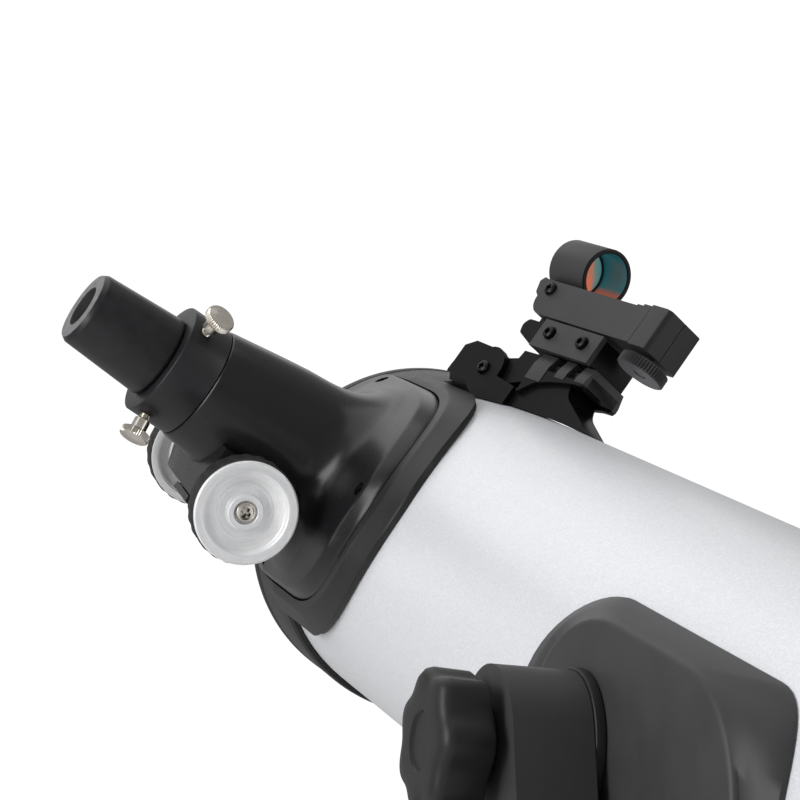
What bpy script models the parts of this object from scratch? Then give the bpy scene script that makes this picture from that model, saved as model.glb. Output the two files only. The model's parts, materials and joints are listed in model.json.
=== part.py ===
"""Newtonian reflector telescope on a single-arm tabletop base.

Optics: 130 mm aperture, 900 mm focal length, 160 mm tube, rack-and-pinion focuser.
Units are metres, +Z is up, and the tube looks towards +Y at its rest elevation.

Frames, each an empty that its pieces hang from:
  azimuth_axis   on the base's vertical axis, at floor level
  altitude_axis  on the horizontal axis of the tube, X to the right
  cradle_frame   altitude_axis raised to the tube's elevation: Y runs along the tube
  tube_frame     origin at the centre of the tube's front edge, X out along the focuser,
                 Y towards the finder, Z towards the open front
  focuser_frame  on the drawtube's axis: Z out of the tube, Y along the pinion
  finder_frame   on the front end of the finder's tube: Z along its sight line, Y up
"""

from math import cos, pi, radians, sin, sqrt

import bmesh
import bpy
from mathutils import Matrix, Vector

for old in list(bpy.data.objects):
    bpy.data.objects.remove(old, do_unlink=True)

# ---------------------------------------------------------------- driving dimensions

GAP = 0.0003                      # clearance kept between neighbouring solids
SMOOTH_ANGLE = radians(35)

# Pose at rest
REST_ELEVATION = radians(26)
FOCUSER_ROLL = radians(27)        # focuser turned up from the altitude axis, about the tube
AZIMUTH_X, AZIMUTH_Y = 0.0023, -0.0522   # base axis, with the origin under the box's centre

# Base
FOOT_HEIGHT, FOOT_RADIUS, FOOT_CIRCLE = 0.014, 0.018, 0.170
BOARD_RADIUS, BOARD_THICK = 0.205, 0.018
BEARING_RADIUS, BEARING_THICK = 0.110, 0.004
TURNTABLE_RADIUS = 0.200
TURNTABLE_TOP = FOOT_HEIGHT + BOARD_THICK + BEARING_THICK + BOARD_THICK + 4 * GAP
AXIS_ABOVE_TURNTABLE = 0.405      # lets the mirror end swing past at the zenith
ARM_THICK, ARM_HEAD_RADIUS, ARM_FOOT_HALF = 0.030, 0.029, 0.065
ARM_FLANGE_THICK = 0.010
ALTITUDE_BOLT_RADIUS = 0.006
HUB_THICK = 0.004

# Tube
TUBE_RADIUS, TUBE_WALL = 0.080, 0.0010
TUBE_BORE = TUBE_RADIUS - TUBE_WALL
TUBE_FRONT, TUBE_REAR = -0.006, -0.858
ALTITUDE_BEHIND_FRONT = 0.490     # the tube balances here
RING_RADIUS, RING_BORE = 0.0834, TUBE_RADIUS + GAP
RING_FRONT, RING_REAR = -0.0095, -0.056
FOCUSER_Z = -0.0911
LIGHT_HOLE_RADIUS = 0.030

# Cradle plate on the tube's side, seen from the side: length along the tube, half width
CRADLE_FACE = 0.088
CRADLE_HALF_WIDTH = 0.0515
CRADLE_NOSE, CRADLE_TAIL = 0.030, -0.105      # centres of its round ends
CRADLE_FACE_NOSE, CRADLE_FACE_TAIL = -0.020, -0.085
CRADLE_FACE_NOSE_LENGTH, CRADLE_FACE_TAIL_LENGTH = 0.076, 0.055
ARM_INNER = -CRADLE_FACE - HUB_THICK - 2 * GAP
ARM_OUTER = ARM_INNER - ARM_THICK

# Focuser: half widths are measured round the tube
SADDLE_HALF, SADDLE_SHOULDER, SADDLE_TIP = radians(55.5), -0.100, -0.203
SADDLE_TAPER = 1.3
BASE_HALF, BASE_SHOULDER, BASE_TIP = radians(41.2), -0.090, -0.178
BASE_TAPER = 1.9
TAPER_ROUNDING = 0.55
SADDLE_FRONT, BASE_FRONT = -0.0135, -0.0150
SADDLE_CORNER, BASE_CORNER = 0.004, 0.013     # cut off the two front corners
SADDLE_SKIN = 0.0810              # underside of the saddle
SADDLE_WALL, SADDLE_RIDGE, SADDLE_BAND = 0.0836, 0.0872, 0.0868
POCKET_FLOOR, BASE_UNDERSIDE = 0.0835, 0.0841
BODY_TOP = 0.1613                 # heights are measured from the tube's axis
COLLAR_BOTTOM, COLLAR_TOP, COLLAR_RADIUS = 0.1617, 0.1827, 0.0279
THUMBSCREW_HEIGHT = 0.1758
THUMBSCREW_ANGLES = {"upper": radians(-35), "lower": radians(205)}
DRAWTUBE_RADIUS, DRAWTUBE_BORE = 0.0205, 0.0185
DRAWTUBE_BOTTOM, DRAWTUBE_TOP = 0.064, 0.1732
BARREL_RADIUS = 0.0158            # the 1.25 inch eyepiece standard
EYEPIECE_TOP, EYEPIECE_TIP_RADIUS, EYEPIECE_BASE_RADIUS = 0.2269, 0.0180, 0.0205
FOCUSER_TWIST = radians(4.9)      # the pinion's turn away from the tube's axis
BASE_SCREWS = ((radians(34.5), -0.056), (radians(-34.5), -0.056), (0.0, -0.166))
BASE_SCREW_SEAT = 0.0895

# Rack and pinion, module 1
PINION_HEIGHT, PINION_OFFSET = 0.1227, -0.0327
PINION_TEETH, MODULE = 13, 0.001
PITCH_RADIUS = PINION_TEETH * MODULE / 2
TOOTH_PITCH = pi * MODULE
SHAFT_RADIUS = 0.003
NEAR_KNOB_FACE, FAR_KNOB_FACE, KNOB_DEPTH = -0.0578, 0.0718, 0.014
KNOB_RADIUS, GRIP_RADIUS = 0.0243, 0.0250

# Optics
SECONDARY_RADIUS, SECONDARY_THICK = 0.0185, 0.005
PRIMARY_RADIUS, PRIMARY_FACE, PRIMARY_BACK = 0.065, -0.819, -0.838
CELL_BACK = -0.8465
REAR_PLATE_FRONT, REAR_PLATE_BACK = -0.8535, -0.8575
COLLIMATION_CIRCLE = 0.050

# Finder
FINDER_TIP = Vector((0.0274, 0.1495, -0.0628))
FINDER_TURN = (radians(6.9), radians(15.2), radians(5.8))
FINDER_TUBE_RADIUS, FINDER_TUBE_BORE, FINDER_TUBE_LENGTH = 0.0145, 0.0122, 0.0283
FINDER_HALF = 0.0125
FINDER_TOP, FINDER_BOTTOM = -0.0140, -0.0330
RAIL_TOP, RAIL_BOTTOM, RAIL_HALF = -0.0508, -0.0600, 0.0125
RAIL_FRONT, RAIL_REAR = -0.0365, -0.0786
RAIL_SLOT_FLOOR, RAIL_SLOT_WIDTH, RAIL_PITCH = -0.0545, 0.0076, 0.0150
ARM_HALF, FOOT_HALF = 0.0094, 0.0098          # of the bracket's arm and the foot below it
PIVOT_Y, PIVOT_Z = -0.0190, -0.0130
WHEEL_Z = -0.0930
HINGE_Y, HINGE_Z, KNUCKLE_RADIUS = -0.0682, -0.0047, 0.0118
CLAMP_SCREWS_Z = (-0.0376, -0.0637)

# ---------------------------------------------------------------- materials


def material(name, colour, roughness, metallic=0.0):
    made = bpy.data.materials.new(name)
    made.use_nodes = True
    shader = made.node_tree.nodes["Principled BSDF"]
    shader.inputs["Base Color"].default_value = (*colour, 1.0)
    shader.inputs["Roughness"].default_value = roughness
    shader.inputs["Metallic"].default_value = metallic
    return made


TUBE_PAINT = material("tube_paint", (0.72, 0.73, 0.75), 0.35, 0.3)
SATIN_BLACK = material("satin_black_plastic", (0.030, 0.030, 0.032), 0.45)
FOCUSER_BLACK = material("focuser_black_paint", (0.018, 0.018, 0.020), 0.30)
BARE_ALUMINIUM = material("turned_aluminium", (0.86, 0.86, 0.87), 0.25, 1.0)
NICKEL = material("nickel_plate", (0.78, 0.74, 0.66), 0.22, 1.0)
STEEL = material("steel", (0.55, 0.55, 0.56), 0.30, 1.0)
GRIP_RUBBER = material("grip_rubber", (0.020, 0.020, 0.020), 0.80)
OPTIC_GLASS = material("coated_glass", (0.10, 0.35, 0.38), 0.05)
MIRROR_COAT = material("mirror_coating", (0.90, 0.92, 0.94), 0.03, 1.0)
FINDER_BLACK = material("finder_plastic", (0.045, 0.045, 0.047), 0.55)
ARM_GREY = material("arm_grey", (0.050, 0.050, 0.052), 0.50)
BOARD_BLACK = material("board_laminate", (0.028, 0.028, 0.030), 0.60)
SLIDE_WHITE = material("bearing_plastic", (0.80, 0.80, 0.78), 0.40)

# ---------------------------------------------------------------- frames


def empty(name, parent=None, location=(0, 0, 0), rotation=None):
    frame = bpy.data.objects.new(name, None)
    bpy.context.collection.objects.link(frame)
    frame.parent = parent
    frame.location = location
    if rotation is not None:
        frame.rotation_mode = "QUATERNION"
        frame.rotation_quaternion = rotation.to_quaternion()
    return frame


def axes(x, y, z):
    """The rotation whose columns are three unit vectors."""
    return Matrix((x, y, z)).transposed()


ROLL_C, ROLL_S = cos(FOCUSER_ROLL), sin(FOCUSER_ROLL)
azimuth_axis = empty("azimuth_axis", None, (AZIMUTH_X, AZIMUTH_Y, 0))
altitude_axis = empty("altitude_axis", azimuth_axis, (0, 0, TURNTABLE_TOP + AXIS_ABOVE_TURNTABLE))
cradle_frame = empty("cradle_frame", altitude_axis, (0, 0, 0), Matrix.Rotation(REST_ELEVATION, 3, "X"))
tube_frame = empty("tube_frame", cradle_frame, (0, ALTITUDE_BEHIND_FRONT, 0),
                   axes((-ROLL_C, 0, ROLL_S), (ROLL_S, 0, ROLL_C), (0, 1, 0)))
focuser_frame = empty("focuser_frame", tube_frame, (0, 0, FOCUSER_Z),
                      axes((0, cos(FOCUSER_TWIST), -sin(FOCUSER_TWIST)),
                           (0, sin(FOCUSER_TWIST), cos(FOCUSER_TWIST)), (1, 0, 0)))
finder_frame = empty("finder_frame", tube_frame, FINDER_TIP,
                     Matrix.Rotation(FINDER_TURN[2], 3, "Z") @ Matrix.Rotation(FINDER_TURN[1], 3, "Y")
                     @ Matrix.Rotation(FINDER_TURN[0], 3, "X"))

ALONG = {"+X": Matrix.Rotation(pi / 2, 3, "Y"), "-X": Matrix.Rotation(-pi / 2, 3, "Y"),
         "+Y": Matrix.Rotation(-pi / 2, 3, "X"), "-Y": Matrix.Rotation(pi / 2, 3, "X"),
         "+Z": Matrix.Identity(3), "-Z": Matrix.Rotation(pi, 3, "X")}

# ---------------------------------------------------------------- mesh helpers


def piece(name, bm, look, parent, at=(0, 0, 0), along="+Z"):
    """An object from a bmesh, its own Z turned along one axis of its parent frame."""
    bmesh.ops.recalc_face_normals(bm, faces=bm.faces)
    mesh = bpy.data.meshes.new(name)
    bm.to_mesh(mesh)
    bm.free()
    mesh.shade_smooth()
    mesh.set_sharp_from_angle(angle=SMOOTH_ANGLE)
    if look is not None:
        mesh.materials.append(look)
    made = bpy.data.objects.new(name, mesh)
    bpy.context.collection.objects.link(made)
    made.parent = parent
    made.location = at
    made.rotation_mode = "QUATERNION"
    made.rotation_quaternion = ALONG[along].to_quaternion()
    return made


def boolean(target, tool, operation):
    """Joins a hidden tool to a piece, or cuts with it."""
    step = target.modifiers.new(tool.name, "BOOLEAN")
    step.operation = operation
    step.object = tool
    step.solver = "EXACT"
    tool.hide_render = True
    tool.display_type = "WIRE"
    return target


def cut(target, *tools):
    for tool in tools:
        boolean(target, tool, "DIFFERENCE")
    return target


def join(target, *tools):
    for tool in tools:
        boolean(target, tool, "UNION")
    return target


def loft(loops, closed_ends=True):
    """A skin through loops with equal numbers of points, capped by flat faces at both ends."""
    bm = bmesh.new()
    rings = [[bm.verts.new(point) for point in loop] for loop in loops]
    count = len(rings[0])
    for low, high in zip(rings, rings[1:]):
        for i in range(count):
            j = (i + 1) % count
            bm.faces.new((low[i], low[j], high[j], high[i]))
    if closed_ends:
        bm.faces.new(rings[0])
        bm.faces.new(rings[-1])
    return bm


def ring_of(radius, height, segments, phase=0.0):
    steps = [phase + 2 * pi * i / segments for i in range(segments)]
    return [(radius * cos(a), radius * sin(a), height) for a in steps]


def rod(profile, segments=32):
    """A solid of revolution about Z from (radius, height) points, with flat ends."""
    return loft([ring_of(r, h, segments) for r, h in profile])


def tube(profile, segments=48):
    """A ring of revolution: its closed (radius, height) section turned about Z."""
    bm = loft([ring_of(r, h, segments) for r, h in profile + profile[:1]], closed_ends=False)
    bmesh.ops.remove_doubles(bm, verts=bm.verts, dist=1e-7)
    return bm


def prism(outline, low, high):
    """An (x, y) outline extruded along Z."""
    return loft([[(x, y, low) for x, y in outline], [(x, y, high) for x, y in outline]])


def side_prism(outline, half_width, centre=0.0):
    """A (z, y) outline extruded along X, as for a shape drawn from the side."""
    return loft([[(x, y, z) for z, y in outline] for x in (centre - half_width, centre + half_width)])


def box(low, high):
    (x0, y0, z0), (x1, y1, z1) = low, high
    return prism([(x0, y0), (x1, y0), (x1, y1), (x0, y1)], z0, z1)


def arc(cx, cy, radius, start, end, steps):
    """Points on an arc, angles in degrees."""
    turns = [radians(start + (end - start) * i / steps) for i in range(steps + 1)]
    return [(cx + radius * cos(a), cy + radius * sin(a)) for a in turns]


def lobed(radius, depth, lobes, per_lobe, height):
    """A ring whose radius waves between radius and radius - depth."""
    count = lobes * per_lobe
    points = []
    for i in range(count):
        a = 2 * pi * i / count
        r = radius - depth * (0.5 - 0.5 * cos(lobes * a))
        points.append((r * cos(a), r * sin(a), height))
    return points


def drill(name, radius, low, high, parent, at=(0, 0, 0), along="+Z", segments=24):
    """A hidden round cutter."""
    return piece(name, rod([(radius, low), (radius, high)], segments), None, parent, at, along)


def screw(name, shank_radius, shank_length, head_radius, head_height, look, parent, at, along):
    """A pan-head screw; its head's underside is at its origin and its head points along Z."""
    profile = [(shank_radius, -shank_length), (shank_radius, 0), (head_radius, 0),
               (head_radius, head_height * 0.55), (head_radius * 0.7, head_height)]
    return piece(name, rod(profile, 16), look, parent, at, along)


# ---------------------------------------------------------------- plates wrapped round the tube


def shield(half, shoulder, tip, taper, front, corner, taper_steps=8):
    """(angle, z) points round a shield: square at the front, tapering to a round tip behind."""
    edge = half - corner / TUBE_RADIUS
    side = [(edge, front), (half, front - corner), (half, (front - corner + shoulder) / 2)]
    for i in range(taper_steps):
        u = 1 - (1 - i / taper_steps) ** 1.7
        side.append((half * (1 - u ** taper) ** TAPER_ROUNDING, shoulder + (tip - shoulder) * u))
    left = [(-angle, z) for angle, z in reversed(side)]
    front_edge = [(-edge * (1 - 2 * k / 6), front) for k in range(1, 6)]
    return side + [(0.0, tip)] + left + front_edge


def between(outer, inner, share):
    return [(a + (c - a) * share, b + (d - b) * share) for (a, b), (c, d) in zip(outer, inner)]


def towards(outline, centre, scale):
    return [(a * scale, centre + (z - centre) * scale) for a, z in outline]


def slope(z):
    """Height share of the plates: low where they meet the bezel, full from 50 mm back."""
    return min(1.0, 0.12 + 0.88 * (-z - 0.012) / 0.042)


def wrap(outline, radius, floor=None):
    """Puts (angle, z) points on a cylinder; floor is where the front slope starts from."""
    points = []
    for angle, z in outline:
        r = radius if floor is None else floor + (radius - floor) * slope(z)
        points.append((r * cos(angle), r * sin(angle), z))
    return points


SADDLE_LINE = shield(SADDLE_HALF, SADDLE_SHOULDER, SADDLE_TIP, SADDLE_TAPER, SADDLE_FRONT, SADDLE_CORNER)
BASE_LINE = shield(BASE_HALF, BASE_SHOULDER, BASE_TIP, BASE_TAPER, BASE_FRONT, BASE_CORNER)
POCKET_LINE = [(a * 1.008, FOCUSER_Z + (z - FOCUSER_Z) * 1.008) for a, z in BASE_LINE]

# ---------------------------------------------------------------- tube and its two ends


def main_tube():
    wall = [(TUBE_RADIUS, TUBE_FRONT), (TUBE_RADIUS, TUBE_REAR), (TUBE_BORE, TUBE_REAR), (TUBE_BORE, TUBE_FRONT)]
    made = piece("main_tube", tube(wall, 48), TUBE_PAINT, tube_frame)
    hole = drill("light_hole", LIGHT_HOLE_RADIUS, 0.05, 0.1, tube_frame, (0, 0, FOCUSER_Z), "+X")
    return cut(made, hole)


def front_bezel():
    outer = RING_RADIUS + 0.0003
    section = [(outer, -0.0092), (outer, -0.0025), (outer - 0.0025, 0.0), (0.0745, 0.0),
               (0.0745, -0.0054), (RING_BORE, -0.0054), (RING_BORE, -0.0092)]
    return piece("front_bezel", tube(section, 40), SATIN_BLACK, tube_frame)


def front_cell():
    """Front ring with the focuser saddle moulded on, a pocket in it for the focuser's base."""
    section = [(RING_BORE, RING_FRONT), (RING_RADIUS, RING_FRONT), (RING_RADIUS, RING_REAR + 0.0015),
               (RING_RADIUS - 0.001, RING_REAR), (RING_BORE, RING_REAR)]
    made = piece("front_cell", tube(section, 48), SATIN_BLACK, tube_frame)
    ridge = between(SADDLE_LINE, POCKET_LINE, 0.55)
    loops = [wrap(towards(SADDLE_LINE, FOCUSER_Z, s), SADDLE_SKIN - 0.0015) for s in (0.25, 0.5, 0.75, 1.0)]
    loops += [wrap(SADDLE_LINE, SADDLE_WALL), wrap(ridge, SADDLE_RIDGE, POCKET_FLOOR),
              wrap(POCKET_LINE, SADDLE_BAND, POCKET_FLOOR), wrap(POCKET_LINE, POCKET_FLOOR)]
    loops += [wrap(towards(POCKET_LINE, FOCUSER_Z, s), POCKET_FLOOR) for s in (0.65, 0.28)]
    saddle = piece("saddle_shape", loft(loops), None, tube_frame)
    hole = drill("cell_hole", LIGHT_HOLE_RADIUS + 0.001, 0.05, 0.1, tube_frame, (0, 0, FOCUSER_Z), "+X")
    cut(saddle, drill("cell_skin", SADDLE_SKIN, -0.22, 0.02, tube_frame, segments=72))
    return cut(join(made, saddle), hole)


def rear_ring():
    section = [(RING_BORE, -0.838), (RING_RADIUS, -0.838), (RING_RADIUS, -0.8610), (RING_RADIUS - 0.0035, -0.8645),
               (0.070, -0.8645), (0.070, -0.8585), (RING_BORE, -0.8585)]
    return piece("rear_ring", tube(section, 40), SATIN_BLACK, tube_frame)


# ---------------------------------------------------------------- mirrors


def primary_optics():
    glass = [(PRIMARY_RADIUS, PRIMARY_BACK), (PRIMARY_RADIUS, PRIMARY_FACE), (0.033, PRIMARY_FACE - 0.0009),
             (0.004, PRIMARY_FACE - 0.0012)]
    piece("primary_mirror", rod(glass, 28), MIRROR_COAT, tube_frame)
    wall = PRIMARY_RADIUS + 0.0005
    cup = [(0.020, CELL_BACK), (wall + 0.004, CELL_BACK), (wall + 0.004, -0.829), (wall, -0.829),
           (wall, PRIMARY_BACK - GAP), (0.020, PRIMARY_BACK - GAP)]
    piece("mirror_cell", tube(cup, 28), SATIN_BLACK, tube_frame)
    disc = [(0.018, REAR_PLATE_BACK), (TUBE_BORE - GAP, REAR_PLATE_BACK), (TUBE_BORE - GAP, REAR_PLATE_FRONT),
            (0.018, REAR_PLATE_FRONT)]
    plate = piece("rear_plate", tube(disc, 32), SATIN_BLACK, tube_frame)
    for i in range(3):
        a = radians(30 + 120 * i)
        at = (COLLIMATION_CIRCLE * cos(a), COLLIMATION_CIRCLE * sin(a), 0)
        hole = drill(f"bolt_hole_{i + 1}", 0.0034, -0.860, -0.850, tube_frame, at, segments=16)
        cut(plate, hole)
        collimation_spring(i + 1, at)
        collimation_knob(i + 1, at)


def collimation_spring(number, at):
    turns, per_turn, sides = 2.5, 10, 4
    wire, radius = 0.0005, 0.0052
    low, high = REAR_PLATE_FRONT + wire + GAP, CELL_BACK - wire - GAP
    loops = []
    for k in range(int(turns * per_turn) + 1):
        a = 2 * pi * k / per_turn
        z = low + (high - low) * k / (turns * per_turn)
        out, up = Vector((cos(a), sin(a), 0)), Vector((0, 0, 1))
        centre = out * radius + up * z
        loops.append([centre + wire * (cos(t) * out + sin(t) * up)
                      for t in (2 * pi * s / sides for s in range(sides))])
    return piece(f"collimation_spring_{number}", loft(loops), STEEL, tube_frame, at)


def collimation_knob(number, at):
    """Knurled knob behind the rear plate, on a bolt that reaches the mirror cell."""
    bolt = [ring_of(0.0029, CELL_BACK - 0.0005, 24), ring_of(0.0029, REAR_PLATE_BACK - GAP, 24)]
    head = [lobed(0.0090, 0.0012, 8, 3, REAR_PLATE_BACK - GAP), lobed(0.0090, 0.0012, 8, 3, -0.872),
            lobed(0.0075, 0.0010, 8, 3, -0.874)]
    return piece(f"collimation_knob_{number}", loft(bolt + head), NICKEL, tube_frame, at)


def secondary_optics():
    """Four-vane spider, the holder that hangs from it, the flat at 45 degrees and its screws."""
    spider = piece("spider", rod([(0.012, -0.050), (0.012, -0.024)], 24), SATIN_BLACK, tube_frame)
    for k, size in enumerate(((TUBE_BORE - GAP, 0.0006), (0.0006, TUBE_BORE - GAP))):
        vane = piece(f"vane_pair_{k + 1}", box((-size[0], -size[1], -0.047), (size[0], size[1], -0.030)),
                     None, tube_frame)
        join(spider, vane)
    back = SECONDARY_THICK * sqrt(2)
    radius = 0.0170
    foot = [(x, y, FOCUSER_Z + x + back + 2 * GAP) for x, y, _ in ring_of(radius, 0, 32)]
    piece("secondary_holder", loft([foot, ring_of(radius, -0.058, 32)]), SATIN_BLACK, tube_frame)
    face = [(x, y, FOCUSER_Z + x) for x, y, _ in ring_of(SECONDARY_RADIUS, 0, 32)]
    rear = [(x, y, z + back) for x, y, z in face]
    piece("secondary_mirror", loft([face, rear]), MIRROR_COAT, tube_frame)
    at = (0, 0, -0.0237)
    cut(spider, drill("spider_hole", 0.0026, -0.03, 0.003, tube_frame, at, segments=16))
    screw("secondary_bolt", 0.0022, 0.0338, 0.0045, 0.0040, STEEL, tube_frame, at, "+Z")


# ---------------------------------------------------------------- focuser


def focuser_body():
    """Curved base, flared neck and pinion housing of the focuser, cast in one."""
    inside = BASE_UNDERSIDE - 0.0012
    loops = [wrap(towards(BASE_LINE, FOCUSER_Z, s), inside) for s in (0.25, 0.5, 0.75, 1.0)]
    loops += [wrap(BASE_LINE, 0.0885, BASE_UNDERSIDE), wrap(towards(BASE_LINE, FOCUSER_Z, 0.95), 0.0905, BASE_UNDERSIDE)]
    loops += [wrap(towards(BASE_LINE, FOCUSER_Z, s), 0.0912, BASE_UNDERSIDE) for s in (0.75, 0.5, 0.25)]
    made = piece("focuser_body", loft(loops), FOCUSER_BLACK, tube_frame)
    neck = [(0.0500, 0.070), (0.0490, 0.0870), (0.0440, 0.0935), (0.0395, 0.0990), (0.0360, 0.1070),
            (0.0329, 0.1300), (0.0287, 0.1595), (0.0277, BODY_TOP)]
    neck = piece("neck_shape", rod(neck, 36), None, focuser_frame)
    housing = box((-0.0445, -0.036, 0.1075), (-0.015, 0.046, 0.1385))
    housing = piece("housing_shape", housing, None, focuser_frame)
    underside = drill("underside", BASE_UNDERSIDE, -0.22, 0.02, tube_frame, segments=72)
    bore = drill("focuser_bore", DRAWTUBE_RADIUS + GAP, 0.02, 0.2, focuser_frame, segments=32)
    slot = piece("rack_slot", box((-0.0280, -0.0045, 0.02), (0.0, 0.0045, 0.2)), None, focuser_frame)
    pocket = drill("pinion_pocket", 0.0080, -0.0065, 0.0065, focuser_frame, (PINION_OFFSET, 0, PINION_HEIGHT), "+Y")
    shaft = drill("shaft_bore", SHAFT_RADIUS + GAP, -0.1, 0.1, focuser_frame, (PINION_OFFSET, 0, PINION_HEIGHT), "+Y")
    window = piece("cover_window", box((-0.06, -0.0065, PINION_HEIGHT - 0.008),
                                       (PINION_OFFSET, 0.0065, PINION_HEIGHT + 0.008)), None, focuser_frame)
    join(made, neck, housing)
    return cut(made, underside, bore, slot, pocket, shaft, window, *base_screw_holes())


def base_screw_place(angle, z, radius):
    return (radius * cos(angle), radius * sin(angle), z)


def aim(made, angle):
    """Turns a piece to point out of its frame's Z axis, at an angle round it."""
    made.rotation_quaternion = (Matrix.Rotation(angle, 3, "Z") @ ALONG["+X"]).to_quaternion()
    return made


def base_screw_holes():
    """Counterbores that take the base screws, each square to the tube's skin."""
    holes = []
    for i, (angle, z) in enumerate(BASE_SCREWS):
        hole = drill(f"base_hole_{i + 1}", 0.0034, 0.0, 0.01, tube_frame,
                     base_screw_place(angle, z, BASE_SCREW_SEAT - 0.0025), segments=16)
        holes.append(aim(hole, angle))
    return holes


def base_screws():
    for i, (angle, z) in enumerate(BASE_SCREWS):
        head = rod([(0.0030, -0.0022), (0.0030, -0.0010), (0.0022, -0.0006)], 16)
        made = piece(f"base_screw_{i + 1}", head, SATIN_BLACK, tube_frame,
                     base_screw_place(angle, z, BASE_SCREW_SEAT))
        aim(made, angle)


def drawtube():
    """Sliding tube with a toothed rack down one side."""
    section = [(DRAWTUBE_BORE, DRAWTUBE_BOTTOM), (DRAWTUBE_RADIUS, DRAWTUBE_BOTTOM),
               (DRAWTUBE_RADIUS, DRAWTUBE_TOP), (DRAWTUBE_BORE, DRAWTUBE_TOP)]
    made = piece("drawtube", tube(section, 32), FOCUSER_BLACK, focuser_frame)
    # Teeth are cut across the rack so that a gap faces each pinion tooth.
    pitch_line = PINION_OFFSET + PITCH_RADIUS
    tip, root, back = pitch_line - 0.0009, pitch_line + 0.0010, -DRAWTUBE_RADIUS + 0.0006
    first = PINION_HEIGHT + TOOTH_PITCH / 2
    low, high = DRAWTUBE_BOTTOM + 0.001, BODY_TOP - 0.0005
    outline = [(high, back), (low, back), (low, root)]
    centre = first - int((first - low) / TOOTH_PITCH) * TOOTH_PITCH + TOOTH_PITCH
    while centre + TOOTH_PITCH / 2 < high:
        outline += [(centre - 0.27 * TOOTH_PITCH, root), (centre - 0.12 * TOOTH_PITCH, tip),
                    (centre + 0.12 * TOOTH_PITCH, tip), (centre + 0.27 * TOOTH_PITCH, root)]
        centre += TOOTH_PITCH
    outline += [(high, root)]
    rack = loft([[(x, y, z) for z, x in outline] for y in (-0.0035, 0.0035)])
    rack = piece("rack_shape", rack, None, focuser_frame)
    return join(made, rack)


def eyepiece_collar():
    """Ring on the drawtube's end that grips the eyepiece."""
    step = DRAWTUBE_TOP + GAP
    section = [(DRAWTUBE_RADIUS + GAP, COLLAR_BOTTOM), (COLLAR_RADIUS, COLLAR_BOTTOM), (COLLAR_RADIUS, COLLAR_TOP),
               (BARREL_RADIUS + GAP, COLLAR_TOP), (BARREL_RADIUS + GAP, step), (DRAWTUBE_RADIUS + GAP, step)]
    made = piece("eyepiece_collar", tube(section, 32), FOCUSER_BLACK, focuser_frame)
    holes = []
    for name, angle in THUMBSCREW_ANGLES.items():
        hole = drill(f"{name}_screw_hole", 0.0026, 0.01, 0.03, focuser_frame, (0, 0, THUMBSCREW_HEIGHT), segments=12)
        holes.append(aim(hole, angle))
    return cut(made, *holes)


def thumbscrews():
    """Two knurled screws, a third of a turn apart, that lock the eyepiece in its collar."""
    thread, boss, head, knurl = 0.0022, 0.0032, 0.0068, 0.0006
    for name, angle in THUMBSCREW_ANGLES.items():
        loops = [ring_of(thread, BARREL_RADIUS + 0.0004, 20), ring_of(thread, 0.0303, 20), ring_of(boss, 0.0303, 20),
                 ring_of(boss, 0.0352, 20), lobed(head, knurl, 10, 2, 0.0354), lobed(head, knurl, 10, 2, 0.0392)]
        made = piece(f"thumbscrew_{name}", loft(loops), NICKEL, focuser_frame, (0, 0, THUMBSCREW_HEIGHT))
        aim(made, angle)


def eyepiece():
    """Barrel, body with a chamfered eye end, and its two lenses."""
    barrel_low, shoulder = 0.1480, COLLAR_TOP + GAP
    section = [(0.0135, barrel_low), (BARREL_RADIUS, barrel_low), (BARREL_RADIUS, shoulder),
               (EYEPIECE_BASE_RADIUS, shoulder), (EYEPIECE_TIP_RADIUS, EYEPIECE_TOP - 0.0020),
               (EYEPIECE_TIP_RADIUS - 0.0018, EYEPIECE_TOP), (0.0100, EYEPIECE_TOP), (0.0072, EYEPIECE_TOP - 0.0045),
               (0.0072, EYEPIECE_TOP - 0.0090), (0.0135, EYEPIECE_TOP - 0.0100)]
    piece("eyepiece_body", tube(section, 28), FOCUSER_BLACK, focuser_frame)
    eye = [(0.0068, -0.0080), (0.0069, -0.0062), (0.0040, -0.0054)]
    piece("eye_lens", rod(eye, 24), OPTIC_GLASS, focuser_frame, (0, 0, EYEPIECE_TOP))
    field = [(0.0131, 0.1540), (0.0131, 0.1560), (0.0070, 0.1572)]
    piece("field_lens", rod(field, 24), OPTIC_GLASS, focuser_frame)


def pinion_and_knobs():
    place = (PINION_OFFSET, 0, PINION_HEIGHT)
    near_end, far_end = NEAR_KNOB_FACE + 0.0062, FAR_KNOB_FACE - 0.0062
    shaft = piece("pinion_shaft", rod([(SHAFT_RADIUS, near_end), (SHAFT_RADIUS, far_end)], 16),
                  STEEL, focuser_frame, place, "+Y")
    join(shaft, piece("pinion_teeth", pinion_gear(), None, focuser_frame, place, "+Y"))
    for name, face, along in (("near", NEAR_KNOB_FACE, "-Y"), ("far", FAR_KNOB_FACE, "+Y")):
        at = (PINION_OFFSET, face, PINION_HEIGHT)
        focus_knob(name, at, along)


def pinion_gear():
    """Thirteen teeth round the shaft; a tooth centre points at the rack."""
    outer, root = PITCH_RADIUS + 0.0009, PITCH_RADIUS - 0.0011
    outline = []
    for k in range(PINION_TEETH):
        a = 2 * pi * k / PINION_TEETH
        step = 2 * pi / PINION_TEETH
        for share, r in ((-0.27, root), (-0.13, outer), (0.13, outer), (0.27, root)):
            outline.append((r * cos(a + share * step), r * sin(a + share * step)))
    return prism(outline, -0.0055, 0.0055)


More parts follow.
